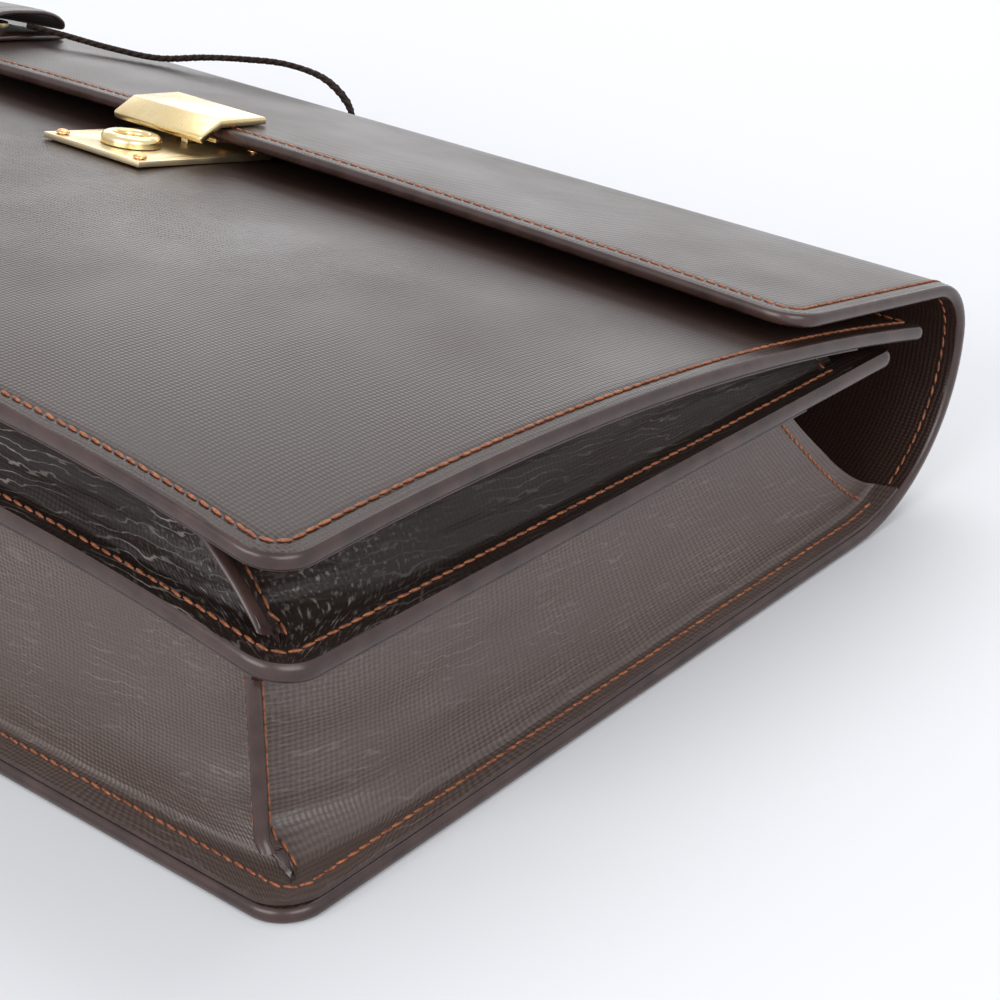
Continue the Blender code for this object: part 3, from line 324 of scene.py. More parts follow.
def strip_profile():
    """Place, slope and run of the flap, by distance along the leather from the bottom edge to the hem."""
    turn_y = BACK_FLAT + CURL_REACH - TURN_RADIUS
    rows = [(0.0, 0.0, 0.0, 0.0)]
    for k in range(CURL_STEPS + 1):
        t = pi / 2 * k / CURL_STEPS
        slope = atan2(CURL_RISE * sin(t), CURL_REACH * cos(t))
        rows.append((BACK_FLAT + CURL_REACH * sin(t), CURL_RISE * (1 - cos(t)), slope, 0.0))
    for k in range(1, TURN_STEPS + 1):
        t = TURN_ANGLE * k / TURN_STEPS
        rows.append((turn_y + TURN_RADIUS * cos(t), CURL_RISE + TURN_RADIUS * sin(t), pi / 2 + t, 0.0))
    y, z, slope, _ = rows[-1]
    rows.append((y - FLAP_LENGTH * cos(FLAP_SLOPE), z + FLAP_LENGTH * sin(FLAP_SLOPE), slope, FLAP_LENGTH))
    return runs_of([row[:2] for row in rows]), rows


STRIP_RUNS, STRIP_ROWS = strip_profile()
STRIP_LENGTH = STRIP_RUNS[-1]


def flap_crown(x, run):
    """How far the flap arches up in the middle."""
    return FLAP_CROWN * ease(run / FLAP_CROWN_RUN) * (1 - (x / HALF_WIDTH) ** 2)


def on_strip(x, s, lift):
    """A point over the outer face of the back panel and flap."""
    k, t = locate(STRIP_RUNS, s)
    y, z, slope, run = (a + (b - a) * t for a, b in zip(STRIP_ROWS[k], STRIP_ROWS[k + 1]))
    return placed(x, y + lift * sin(slope), z + flap_crown(x, run) - lift * cos(slope))


EDGE_STEPS = (0, 0.0006, 0.0012, 0.0019, 0.0027, 0.0035, 0.0043, 0.0052, 0.0062, 0.0078, 0.0100, 0.0130)
ROLL = 0.0010


def spread(low, high, step, bends=()):
    """Places from low to high, close together at both ends and over each bend."""
    places = [low + d for d in EDGE_STEPS] + [high - d for d in EDGE_STEPS]
    at, end = low + EDGE_STEPS[-1], high - EDGE_STEPS[-1]
    while at < end - step * 0.6:
        at += next((fine for start, stop, fine in bends if start <= at < stop), step)
        places.append(at)
    return sorted(set(round(p, 7) for p in places if p <= high))


def corner_of(x, s, outline):
    """Nearest corner of an outline: how far a point lies beyond the start of its arc, and the radius."""
    half, low, high, low_radius, high_radius = outline
    if s < (low + high) / 2:
        return abs(x) - half + low_radius, low + low_radius - s, low_radius, -1
    return abs(x) - half + high_radius, s - high + high_radius, high_radius, 1


def rounded(x, s, outline):
    """Move a point of a rectangle so that the corners become round."""
    a, b, radius, way = corner_of(x, s, outline)
    if a <= 0 or b <= 0:
        return x, s
    a, b = a / radius, b / radius
    moved_a, moved_b = a * sqrt(1 - b * b / 2), b * sqrt(1 - a * a / 2)
    return x + copysign(1, x) * (moved_a - a) * radius, s + way * (moved_b - b) * radius


def edge_distance(x, s, outline):
    """Distance of a point in from the outline, and the way out."""
    a, b, radius, way = corner_of(x, s, outline)
    if a > 0 and b > 0:
        reach = hypot(a, b)
        return radius - reach, (copysign(a / reach, x), way * b / reach)
    if a > b:
        return radius - a, (copysign(1, x), 0)
    return radius - b, (0, way)


SEAM_INSET, SEAM_DEPTH, SEAM_WIDTH = 0.0045, 0.00038, 0.0010
LINE_INSET, LINE_DEPTH, LINE_WIDTH = 0.0021, 0.00016, 0.0004
EDGE_DEPTH, EDGE_WIDTH = 0.00022, 0.0006


def furrow(d):
    """How deep the leather is drawn in along its seam, its creased line and its edge."""
    seam = SEAM_DEPTH * exp(-(((d - SEAM_INSET) / SEAM_WIDTH) ** 2))
    crease = LINE_DEPTH * exp(-(((d - LINE_INSET) / LINE_WIDTH) ** 2))
    return -seam - crease - EDGE_DEPTH * exp(-max(0.0, d - ROLL) / EDGE_WIDTH)


def add_piece(name, bm, finishes, smooth=60):
    """A new object at the origin from a bmesh."""
    bmesh.ops.recalc_face_normals(bm, faces=bm.faces)
    mesh = bpy.data.meshes.new(name)
    bm.to_mesh(mesh)
    bm.free()
    mesh.shade_smooth()
    mesh.set_sharp_from_angle(angle=radians(smooth))
    for finish in finishes:
        mesh.materials.append(finish)
    return add_object(name, mesh)


def settle(piece, slot, body, *nodes):
    """Let a piece ride on the body it rides on and hide the nodes it stands for; its slot is not used."""
    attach(piece, body)
    if nodes:
        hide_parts(*nodes)


EDGE_ROUNDING = (0.0, 0.10, 0.26, 0.5, 0.74, 0.90, 1.0)


def rim_of(grid):
    """Places round the edge of a grid, in order."""
    last_i, last_j = len(grid) - 1, len(grid[0]) - 1
    rim = [(0, j) for j in range(last_j)] + [(i, last_j) for i in range(last_i)]
    return rim + [(last_i, j) for j in range(last_j, 0, -1)] + [(i, 0) for i in range(last_i, 0, -1)]


def close_sheet(name, bm, spots, top, under, edges, finishes):
    """A sheet between two grids of corners, mapped in metres, with the second finish round its edge."""
    for i in range(len(top) - 1):
        for j in range(len(top[0]) - 1):
            bm.faces.new((top[i][j], top[i][j + 1], top[i + 1][j + 1], top[i + 1][j]))
            bm.faces.new((under[i][j], under[i + 1][j], under[i + 1][j + 1], under[i][j + 1]))
    rim = rim_of(top)
    loops = [[top[i][j] for i, j in rim], *edges, [under[i][j] for i, j in rim]]
    for one, two in zip(loops, loops[1:]):
        for k in range(len(rim)):
            after = (k + 1) % len(rim)
            bm.faces.new((one[k], two[k], two[after], one[after])).material_index = 1
    uv = bm.loops.layers.uv.new("hide")
    for face in bm.faces:
        for loop in face.loops:
            loop[uv].uv = spots[loop.vert]
    return add_piece(name, bm, finishes)


def leather_sheet(name, outline, place, thick, lips=(0.0, 0.0), bends=(), step=0.009):
    """A sewn sheet with a painted, rolled edge. lips are how far the edge stands over and under it."""
    half, low, high, low_radius, high_radius = outline
    flat = (half - ROLL, low + ROLL, high - ROLL, low_radius - ROLL, high_radius - ROLL)
    xs, ss = spread(-flat[0], flat[0], step), spread(flat[1], flat[2], step, bends)
    bm = bmesh.new()
    spots = {}

    def vertex(x, s, lift):
        made = bm.verts.new(place(x, s, lift))
        spots[made] = (x, s)
        return made

    grid = [[rounded(x, s, flat) for x in xs] for s in ss]
    top = [[vertex(x, s, furrow(edge_distance(x, s, outline)[0])) for x, s in row] for row in grid]
    under = [[vertex(x, s, -thick) for x, s in row] for row in grid]
    edges = []
    for q in EDGE_ROUNDING:
        if (q == 0 and not lips[0]) or (q == 1 and not lips[1]):
            continue
        out = ROLL * (1 - abs(2 * q - 1) ** 3)
        lift = lips[0] - (thick + lips[0] + lips[1]) * q
        loop = []
        for i, j in rim_of(grid):
            x, s = grid[i][j]
            way = edge_distance(x, s, outline)[1]
            loop.append(vertex(x + way[0] * out, s + way[1] * out, lift))
        edges.append(loop)
    return close_sheet(name, bm, spots, top, under, edges, (hide, edge_paint))


BACK_OUTLINE = (HALF_WIDTH, 0.0, STRIP_LENGTH, CORNER_RADIUS, TOP_CORNER_RADIUS)
STRIP_BENDS = ((BACK_FLAT - 0.01, STRIP_LENGTH - FLAP_LENGTH + 0.004, 0.0022),)
back_and_flap = leather_sheet("back_and_flap", BACK_OUTLINE, on_strip, LEATHER_THICK, bends=STRIP_BENDS)
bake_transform(back_and_flap)
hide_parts("back_panel", "flap")

# Thread: rust-orange waxed thread in a lockstitch, one short stitch after another,
# each leaning a little across the seam.
STITCH_PITCH = 0.0033
STITCH_SIZE = (0.00162, 0.00043, 0.00036)
STITCH_LEAN = 0.14
SEAM_SINK = 0.00010
INNER_SEAM_START = 0.222

thread, thread_tree, thread_shader = finish_of("rust_thread", 0.62)
thread_fibres = cloud(thread_tree, object_place(thread_tree), 900.0, 2.0)
lay_tones(thread_tree, thread_shader, thread_fibres, (0.3, 0.11, 0.030, 0.013), (0.7, 0.42, 0.145, 0.060))


def setting_tree():
    """Geometry Nodes that set a copy of one piece on every point, turned by the point's two directions."""
    tree = bpy.data.node_groups.new("set_on_points", "GeometryNodeTree")
    tree.interface.new_socket("Geometry", in_out="OUTPUT", socket_type="NodeSocketGeometry")
    inputs = {}
    kinds = {"Geometry": "Geometry", "Piece": "Object", "Size": "Vector", "Finish": "Material"}
    for name, kind in kinds.items():
        socket = tree.interface.new_socket(name, in_out="INPUT", socket_type=f"NodeSocket{kind}")
        inputs[name] = socket.identifier
    start = tree.nodes.new("NodeGroupInput")
    piece = wire(tree, "GeometryNodeObjectInfo", {"Object": start.outputs["Piece"]})
    turn = None
    for way, axis, pivot in (("along", "X", "AUTO"), ("up", "Z", "X")):
        aim = wire(tree, "GeometryNodeInputNamedAttribute", {"Name": way}, data_type="FLOAT_VECTOR")
        sockets = {"Vector": aim.outputs[0]}
        if turn is not None:
            sockets["Rotation"] = turn
        align = wire(tree, "FunctionNodeAlignRotationToVector", sockets, axis=axis, pivot_axis=pivot)
        turn = align.outputs[0]
    copies = wire(
        tree,
        "GeometryNodeInstanceOnPoints",
        {
            "Points": start.outputs["Geometry"],
            "Instance": piece.outputs["Geometry"],
            "Rotation": turn,
            "Scale": start.outputs["Size"],
        },
    )
    real = wire(tree, "GeometryNodeRealizeInstances", {"Geometry": copies.outputs[0]})
    coloured = wire(
        tree, "GeometryNodeSetMaterial", {"Geometry": real.outputs[0], "Material": start.outputs["Finish"]}
    )
    wire(tree, "NodeGroupOutput", {"Geometry": coloured.outputs[0]})
    return tree, inputs


SETTING, SETTING_INPUTS = setting_tree()


def set_on_points(name, points, piece, size, finish):
    """One mesh of a piece repeated at points, each with a place, a direction along and one up."""
    mesh = bpy.data.meshes.new(name)
    mesh.from_pydata([p for p, _, _ in points], [], [])
    for key, index in (("along", 1), ("up", 2)):
        layer = mesh.attributes.new(key, "FLOAT_VECTOR", "POINT")
        layer.data.foreach_set("vector", [c for point in points for c in point[index]])
    holder = add_object(name, mesh)
    change = holder.modifiers.new("set", "NODES")
    change.node_group = SETTING
    change[SETTING_INPUTS["Piece"]] = piece
    change[SETTING_INPUTS["Size"]] = size
    change[SETTING_INPUTS["Finish"]] = finish
    bpy.context.view_layer.update()
    shape = bpy.data.meshes.new_from_object(holder.evaluated_get(bpy.context.evaluated_depsgraph_get()))
    holder.modifiers.remove(change)
    holder.data = shape
    shape.name = name
    shape.shade_smooth()
    return holder


def pattern_piece(name, bm):
    """A mesh that is only copied, and never shown itself."""
    made = add_piece(name, bm, ())
    scene.collection.objects.unlink(made)
    return made


stitch_shape = bmesh.new()
bmesh.ops.create_uvsphere(stitch_shape, u_segments=6, v_segments=5, radius=1.0)
bmesh.ops.rotate(stitch_shape, verts=stitch_shape.verts, matrix=Matrix.Rotation(pi / 2, 3, "Y"))
stitch_shape = pattern_piece("one_stitch", stitch_shape)

PATH_STEP, CORNER_STEPS, PROBE = 0.0008, 24, 0.001


def outline_path(outline, inset):
    """Closed, closely spaced points along an outline, a little inside it."""
    half, low, high, *radii = outline
    low_radius, high_radius = (max(radius, inset) for radius in radii)
    corners = (
        (half - low_radius, low + low_radius, low_radius, -pi / 2),
        (half - high_radius, high - high_radius, high_radius, 0.0),
        (high_radius - half, high - high_radius, high_radius, pi / 2),
        (low_radius - half, low + low_radius, low_radius, pi),
    )
    points = []
    for x, s, radius, start in corners:
        reach = radius - inset
        for k in range(CORNER_STEPS + 1):
            t = start + pi / 2 * k / CORNER_STEPS
            points.append((x + reach * cos(t), s + reach * sin(t)))
    points.append(points[0])
    path = [points[0]]
    for one, two in zip(points, points[1:]):
        count = max(1, round(hypot(two[0] - one[0], two[1] - one[1]) / PATH_STEP))
        for k in range(1, count + 1):
            path.append(tuple(a + (b - a) * k / count for a, b in zip(one, two)))
    return path


def seam_points(path):
    """Stitches along a path of places and up directions."""
    points, walked, due = [], 0.0, 0.0
    for (one, up), (two, _) in zip(path, path[1:]):
        step = (two - one).length
        while step > 0 and due <= walked + step:
            along = (two - one).normalized()
            lean = along + along.cross(up) * STITCH_LEAN
            points.append((one.lerp(two, (due - walked) / step), lean.normalized(), up))
            due += STITCH_PITCH
        walked += step
    return points


def surface_path(place, spots, lift):
    """A path over a surface, from its own coordinates."""
    path = []
    for x, s in spots:
        at = place(x, s, lift)
        path.append((at, (place(x, s, lift + PROBE) - at).normalized()))
    return path


def sew(name, paths, body=None):
    """All the stitches of some seams, as one piece that rides on a body if one is named."""
    points = [point for path in paths for point in seam_points(path)]
    made = set_on_points(name, points, stitch_shape, STITCH_SIZE, thread)
    if body:
        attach(made, body)
    return made


strip_seam = outline_path(BACK_OUTLINE, SEAM_INSET)
inner_seam = [(x, s) for x, s in strip_seam if s > INNER_SEAM_START]
strip_paths = [surface_path(on_strip, strip_seam, -SEAM_SINK)]
strip_paths.append(surface_path(on_strip, inner_seam, SEAM_SINK - LEATHER_THICK))
flap_seam = sew("flap_seam", strip_paths)
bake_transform(flap_seam)

# Divider and front panel: two stiffened boards of the same leather, which arch a little between
# their bottom corners. Their painted edges take in the gusset flanges that are sewn to them.
FRONT_HEIGHT, FRONT_TOP = 0.0820, 0.231
FRONT_LEVEL_Y, FRONT_ARC_RADIUS, FRONT_BOW = 0.020, 0.770, 0.012
FRONT_THICK = 0.0026
DIVIDER_HEIGHT, DIVIDER_TOP, DIVIDER_SLOPE = 0.0570, 0.216, 0.0324
DIVIDER_BOW, DIVIDER_BOW_END = 0.011, 0.170
DIVIDER_SAG, DIVIDER_SAG_START = 0.003, 0.192
DIVIDER_THICK = 0.0014
ARCH_WIDE, ARCH_FALL = 3.5, 1.5
BOTTOM_SETBACK = 0.002
GUSSET_THICK, GAP = 0.0011, 0.0003
FLANGE = GUSSET_THICK + GAP


def arch(x, y, rise, end):
    """How far a board arches up between its bottom corners."""
    return rise * (1 - min(1.0, abs(x) / HALF_WIDTH) ** ARCH_WIDE) * max(0.0, 1 - y / end) ** ARCH_FALL


def front_z(x, y):
    """Outer face of the front panel."""
    fall = FRONT_ARC_RADIUS - sqrt(FRONT_ARC_RADIUS ** 2 - (y - FRONT_LEVEL_Y) ** 2)
    return FRONT_HEIGHT - fall + arch(x, y, FRONT_BOW, FRONT_TOP)


def divider_z(x, y):
    """Upper face of the divider."""
    sag = ease((y - DIVIDER_SAG_START) / (DIVIDER_TOP - DIVIDER_SAG_START))
    dip = DIVIDER_SAG * (1 - (x / HALF_WIDTH) ** 2) * sag
    return DIVIDER_HEIGHT - DIVIDER_SLOPE * y + arch(x, y, DIVIDER_BOW, DIVIDER_BOW_END) - dip


def back_z(x, y):
    """Inner face of the back panel over its flat part and the start of its curl."""
    out = max(0.0, y - BACK_FLAT) / CURL_REACH
    level = sqrt(1 - out ** 2)
    slope = CURL_RISE / CURL_REACH * out / level
    return CURL_RISE * (1 - level) + LEATHER_THICK * sqrt(1 + slope ** 2)


FRONT_OUTLINE = (HALF_WIDTH, BOTTOM_SETBACK, FRONT_TOP, CORNER_RADIUS, BOARD_TOP_RADIUS)
DIVIDER_OUTLINE = (HALF_WIDTH, BOTTOM_SETBACK, DIVIDER_TOP, CORNER_RADIUS, BOARD_TOP_RADIUS)


def over(face, rise=0.0):
    """A place function over a face of the case."""

    def place(x, y, lift):
        return placed(x, y, face(x, y) + rise + lift)

    return place


on_front, on_divider = over(front_z), over(divider_z)
front_board = leather_sheet("front_board", FRONT_OUTLINE, on_front, FRONT_THICK, (0.0, FLANGE))
divider_board = leather_sheet("divider_board", DIVIDER_OUTLINE, on_divider, DIVIDER_THICK, (FLANGE, FLANGE))
settle(front_board, "brown_leather", "case", "front_panel")
settle(divider_board, "brown_leather", "case", "divider_panel")
sew("front_seam", [surface_path(on_front, outline_path(FRONT_OUTLINE, SEAM_INSET), -SEAM_SINK)], "case")

# Gussets: soft thin leather that folds in between the boards like an accordion. Each wall has a
# flange sewn to the board over and under it, and at the bottom corners two walls meet in a sewn fin.
EDGE_INSET = 0.0009
WALL_RECESS, CORNER_RECESS = 0.008, 0.0115
SEAM_LENGTH, FLANGE_STEP = 0.005, 0.0005
BACK_LEAN = ((0.0, 0.0), (0.12, 0.008), (0.88, 0.008), (1.0, 0.0))
FRONT_LEAN = (
    (0.0, 0.0), (0.10, 0.004), (0.45, 0.012), (0.79, 0.0205), (0.88, 0.017), (0.94, 0.011), (1.0, 0.008)
)
CORNER_FADE, CORNER_START = 0.022, 0.060
BACK_GUSSET_FOOT_Y, BACK_GUSSET_HEAD_Y, FRONT_GUSSET_TOP_Y = 0.220, 0.175, 0.196
GUSSET_SECTION = (
    (0.00, 0.0), (0.80, 0.0), (1.00, 0.10), (1.12, 0.35),
    (1.12, 0.65), (1.00, 0.90), (0.80, 1.0), (0.00, 1.0),
)


def smooth_line(points, steps):
    """Points of a smooth curve through some values, of any number of parts."""
    ends = [points[0], *points, points[-1]]
    line = []
    for a, b, c, d in zip(ends, ends[1:], ends[2:], ends[3:]):
        for k in range(steps):
            t = k / steps
            line.append(tuple(
                (2 * q + (r - p) * t + (2 * p - 5 * q + 4 * r - s) * t ** 2
                 + (3 * q - 3 * r + s - p) * t ** 3) / 2
                for p, q, r, s in zip(a, b, c, d)
            ))
    return line + [points[-1]]


FOLD = [(share, min(1, max(0, climb))) for share, climb in smooth_line(GUSSET_SECTION, 5)]


def outline_inset(along):
    """How far the rounded outline stands in from the side, by distance up the side."""
    if along >= CORNER_RADIUS:
        return 0.0
    return CORNER_RADIUS - sqrt(CORNER_RADIUS ** 2 - (CORNER_RADIUS - along) ** 2)


LONG_FOLDS, SHORT_FOLDS, SHORT_SEED = (22, 5.5), (75, 9.0), 7.3
FOLD_LEAST, FOLD_FADE = 0.35, 0.05


def crumple(reach, climb, amount, seed):
    """Soft uneven folds of a wall, which die out at its flanges."""
    window = max(0.0, 1 - (2 * climb - 1) ** 4)
    near = FOLD_LEAST + exp(-reach / FOLD_FADE)
    long_folds = noise.noise(Vector((reach * LONG_FOLDS[0], climb * LONG_FOLDS[1], seed)))
    short_folds = noise.noise(Vector((reach * SHORT_FOLDS[0], climb * SHORT_FOLDS[1], seed + SHORT_SEED)))
    return amount * window * near * (long_folds + 0.5 * short_folds)


def between(table, at):
    """Value at a place in a table of places and values."""
    for (low, one), (high, two) in zip(table, table[1:]):
        if at <= high:
            return one + (two - one) * (at - low) / (high - low)
    return table[-1][1]


FIN_TUCK, FIN_SPLIT, FLANGE_SHARE, FLOOR_EDGE = 0.35, 0.6, 0.8, 0.03


def gusset_point(reach, seam, fold, wall):
    """One point of a wall on the right half, by distance from the corner and place in its fold."""
    share, climb = fold
    lower, upper, lean, hem, amount, seed = wall
    recess = WALL_RECESS + (CORNER_RECESS - WALL_RECESS) * exp(-reach / CORNER_FADE)
    out = seam * (FIN_TUCK if share < 1 else 1.0)
    plan_wall = Vector((recess - out, CORNER_RECESS + reach - out))
    if seam > 0:
        plan_wall += Vector((-FLANGE, FLANGE)) * sqrt(0.5) * ease((share - FIN_SPLIT) / (1 - FIN_SPLIT))
    blend = ease(reach / CORNER_START)
    start = CORNER_RADIUS * (1 - sqrt(0.5)) + FLANGE_STEP * (1 - seam / SEAM_LENGTH)
    edge_along = start + (CORNER_RECESS + reach - start) * blend
    edge = Vector((outline_inset(edge_along) + EDGE_INSET, edge_along + EDGE_INSET))
    plan = edge.lerp(plan_wall, min(1.0, share))
    bulge = max(0.0, share - 1) * recess
    if seam == 0 and share > 0.9:
        bulge += crumple(reach, climb, amount, seed)
    plan += Vector((1, 1 - blend)) * bulge
    if hem is None:
        x, y = HALF_WIDTH - plan.y, plan.x + BOTTOM_SETBACK
    else:
        foot, head = hem
        x, y = HALF_WIDTH - plan.x, plan.y + BOTTOM_SETBACK
        y += (foot - head) * (1 - climb) * max(0.0, y - CORNER_START) / (head - CORNER_START)
    x -= between(lean, climb) * min(1.0, share) * exp(-reach / CORNER_FADE)
    if lower is back_z:
        near = max(0.0, 1 - share / FLANGE_SHARE) * (1 - climb) * max(0.0, 1 - y / FLOOR_EDGE)
        y -= BOTTOM_SETBACK * near
    low = lower(x, y) + FLANGE
    high = upper(x, y) - FLANGE - GAP
    return placed(x, y, low + (high - low) * climb)


NEAR_ROWS, NEAR_CLOSER, FAR_STEP, FIN_ROWS = 24, 1.4, 0.005, (1.0, 0.7, 0.4)


def wall_rows(length, wall):
    """Rows of a wall from its corner seam, each with its distance from the corner."""
    near = [CORNER_START * (k / NEAR_ROWS) ** NEAR_CLOSER for k in range(1, NEAR_ROWS + 1)]
    count = round((length - CORNER_START) / FAR_STEP)
    far = [CORNER_START + (length - CORNER_START) * k / count for k in range(1, count + 1)]
    rows = [(0.0, SEAM_LENGTH * share) for share in FIN_ROWS] + [(reach, 0.0) for reach in near + far]
    return [(reach - seam, [gusset_point(reach, seam, fold, wall) for fold in FOLD]) for reach, seam in rows]


def mirrored(rows):
    """The same rows on the other side of the case."""
    return [(run, [Vector((-p.x, p.y, p.z)) for p in row]) for run, row in rows]


def thin_wall(name, rows, thick, finishes):
    """A thin sheet through rows of points, each with its distance along the wall."""
    grid = [row for _, row in rows]
    last_i, last_j = len(grid) - 1, len(grid[0]) - 1
    heights = runs_of(grid[len(grid) // 2])
    bm = bmesh.new()
    spots, outer, inner = {}, [], []
    for i, (run, row) in enumerate(rows):
        outer_row, inner_row = [], []
        for j, point in enumerate(row):
            along = grid[min(i + 1, last_i)][j] - grid[max(i - 1, 0)][j]
            across = grid[i][min(j + 1, last_j)] - grid[i][max(j - 1, 0)]
            normal = along.cross(across).normalized()
            for line, at in ((outer_row, point), (inner_row, point - normal * thick)):
                made = bm.verts.new(at)
                spots[made] = (run, heights[j])
                line.append(made)
        outer.append(outer_row)
        inner.append(inner_row)
    return close_sheet(name, bm, spots, outer, inner, (), finishes)


# The gusset walls use copies of one leather with painted light and shade: the back level's copy is painted
# paler, as painted light thrown up by the table.
painted_light_gusset_hide = hide_finish("painted_light_gusset_hide", (0.058, 0.038, 0.032), (0.122, 0.088, 0.076), 0.42, 1.1, 0.6, 0.3)
# The front level's copies are painted darker, as painted shade where the front board overhangs the walls;
# the bottom wall's copy is also creased all over.
painted_shade_side_hide = hide_finish(
    "painted_shade_side_hide", (0.012, 0.0075, 0.006), (0.028, 0.018, 0.0145), 0.46, 0.7, 0.25, 0.25
)
creased_painted_shade_hide = hide_finish(
    "creased_painted_shade_hide", (0.011, 0.0068, 0.0055), (0.026, 0.017, 0.0138), 0.46, 0.7, 0.22, 1.0
)


def divider_under(x, y):
    """Lower face of the divider."""
    return divider_z(x, y) - DIVIDER_THICK


def front_under(x, y):
    """Inner face of the front panel."""
    return front_z(x, y) - FRONT_THICK


def turns_of(count):
    """Equal turns round a circle."""
    return [2 * pi * k / count for k in range(count)]


def add_tube(bm, rings):
    """A closed tube through rings of points, with its map in metres along it and round it."""
    uv = bm.loops.layers.uv.get("hide") or bm.loops.layers.uv.new("hide")
    made = [[bm.verts.new(p) for p in ring] for ring in rings]
    count, run = len(rings[0]), 0.0
    girth = (rings[len(rings) // 2][1] - rings[len(rings) // 2][0]).length
    for i in range(len(made) - 1):
        step = (rings[i + 1][0] - rings[i][0]).length
        for k in range(count):
            after = (k + 1) % count
            face = bm.faces.new((made[i][k], made[i][after], made[i + 1][after], made[i + 1][k]))
            spots = ((run, k), (run, k + 1), (run + step, k + 1), (run + step, k))
            for loop, (x, turn) in zip(face.loops, spots):
                loop[uv].uv = (x, turn * girth)
        run += step
    bm.faces.new(made[0])
    bm.faces.new(made[-1][::-1])


FIN_SEAM_START = 7


def row_seam(one, two, share, lift, hand=None):
    """A seam between two rows of a wall, on the side of a hand, or else on the outside of the case."""
    path = []
    for k in range(FIN_SEAM_START, len(FOLD) - FIN_SEAM_START):
        up = (one[k + 1] - one[k - 1]).cross(two[k] - one[k]).normalized()
        up *= hand or copysign(1, up.x * one[k].x)
        path.append((one[k].lerp(two[k], share) + up * lift, up))
    return path


BACK_HEMS = (BACK_GUSSET_FOOT_Y, BACK_GUSSET_HEAD_Y)
FRONT_HEMS = (FRONT_GUSSET_TOP_Y, FRONT_GUSSET_TOP_Y)
# Back level walls take the copy painted paler as painted light, front level walls the copies painted darker
# as painted shade.
GUSSETS = (
    ("back", back_z, divider_under, BACK_HEMS, BACK_LEAN, 0.0011, painted_light_gusset_hide, painted_light_gusset_hide),
    ("front", divider_z, front_under, FRONT_HEMS, FRONT_LEAN, 0.0014, painted_shade_side_hide, creased_painted_shade_hide),
)
SIDE_SEED, BOTTOM_SEED, MAP_SHIFT = 3.1, 11.7, 0.4
BEAD_WIDTH, BEAD_HEIGHT, BEAD_START, BEAD_SIDES = 0.0016, 0.0010, 6, 14
BEAD_TIP, BEAD_FADE = 0.30, 3
FLANGE_TOP, FLANGE_SEAM_END, FLANGE_SEAM_LIFT = 0.25, 0.003, 0.00012
FIN_SEAM_SHARE, FIN_SEAM_LIFT = -0.25, 0.0002
HEM_SEAM_SHARE, HEM_SEAM_LIFT = 0.1, 0.0001
gusset_paths = []
beads = bmesh.new()
for level, lower, upper, hem, lean, amount, side_hide, bottom_hide in GUSSETS:
    side_wall = (lower, upper, lean, hem, amount, SIDE_SEED)
    bottom_wall = (lower, upper, lean, None, amount, BOTTOM_SEED)
    right = wall_rows(hem[1] - CORNER_RECESS, side_wall)
    half = wall_rows(HALF_WIDTH - CORNER_RECESS, bottom_wall)
    left, left_half = mirrored(right), mirrored(half)
    bottom = [(-run - MAP_SHIFT, row) for run, row in left_half[:-1]] + half[::-1]
    walls = (
        ("right", right, GUSSET_THICK, side_hide),
        ("left", left, -GUSSET_THICK, side_hide),
        ("bottom", bottom, GUSSET_THICK, bottom_hide),
    )
    for side, rows, thick, finish in walls:
        wall = thin_wall(f"{level}_{side}_wall", rows, thick, (finish, edge_paint))
        settle(wall, "gusset_leather", "case", f"{level}_gusset_{side}")

    # Painted bead over the two raw edges of each corner fin
    for one, two in ((right, half), (left, left_half)):
        rings = []
        for k in range(BEAD_START, len(FOLD) - BEAD_START):
            ends = one[0][1][k], two[0][1][k]
            out = (ends[0] - one[2][1][k] + ends[1] - two[2][1][k]).normalized() * BEAD_HEIGHT
            across = (ends[0] - ends[1]).normalized() * BEAD_WIDTH
            nearest_end = min(k - BEAD_START, len(FOLD) - 1 - BEAD_START - k)
            fade = BEAD_TIP + (1 - BEAD_TIP) * ease(nearest_end / BEAD_FADE)
            middle = (ends[0] + ends[1]) / 2
            rings.append([middle + (across * cos(a) + out * sin(a)) * fade for a in turns_of(BEAD_SIDES)])
        add_tube(beads, rings)

    # Seams of this level: the lower flange, both sides of each fin and the hem at the top of each side wall
    flat_outline = (HALF_WIDTH, BOTTOM_SETBACK, FLANGE_TOP, CORNER_RADIUS, TOP_CORNER_RADIUS)
    spots = [p for p in outline_path(flat_outline, SEAM_INSET) if p[1] < hem[0] - FLANGE_SEAM_END]
    gaps = [hypot(two[0] - one[0], two[1] - one[1]) for one, two in zip(spots, spots[1:])]
    turn = gaps.index(max(gaps)) + 1
    spots = spots[turn:] + spots[:turn]
    gusset_paths.append(surface_path(over(lower, FLANGE), spots, FLANGE_SEAM_LIFT))
    for rows, hand in ((right, 1), (half, -1), (left, -1), (left_half, 1)):
        gusset_paths.append(row_seam(rows[2][1], rows[0][1], FIN_SEAM_SHARE, FIN_SEAM_LIFT, hand))
    for rows in (right, left):
        gusset_paths.append(row_seam(rows[-2][1], rows[-1][1], HEM_SEAM_SHARE, HEM_SEAM_LIFT))
sew("gusset_seams", gusset_paths, "case")
settle(add_piece("fin_beads", beads, (edge_paint,)), "gusset_leather", "case")
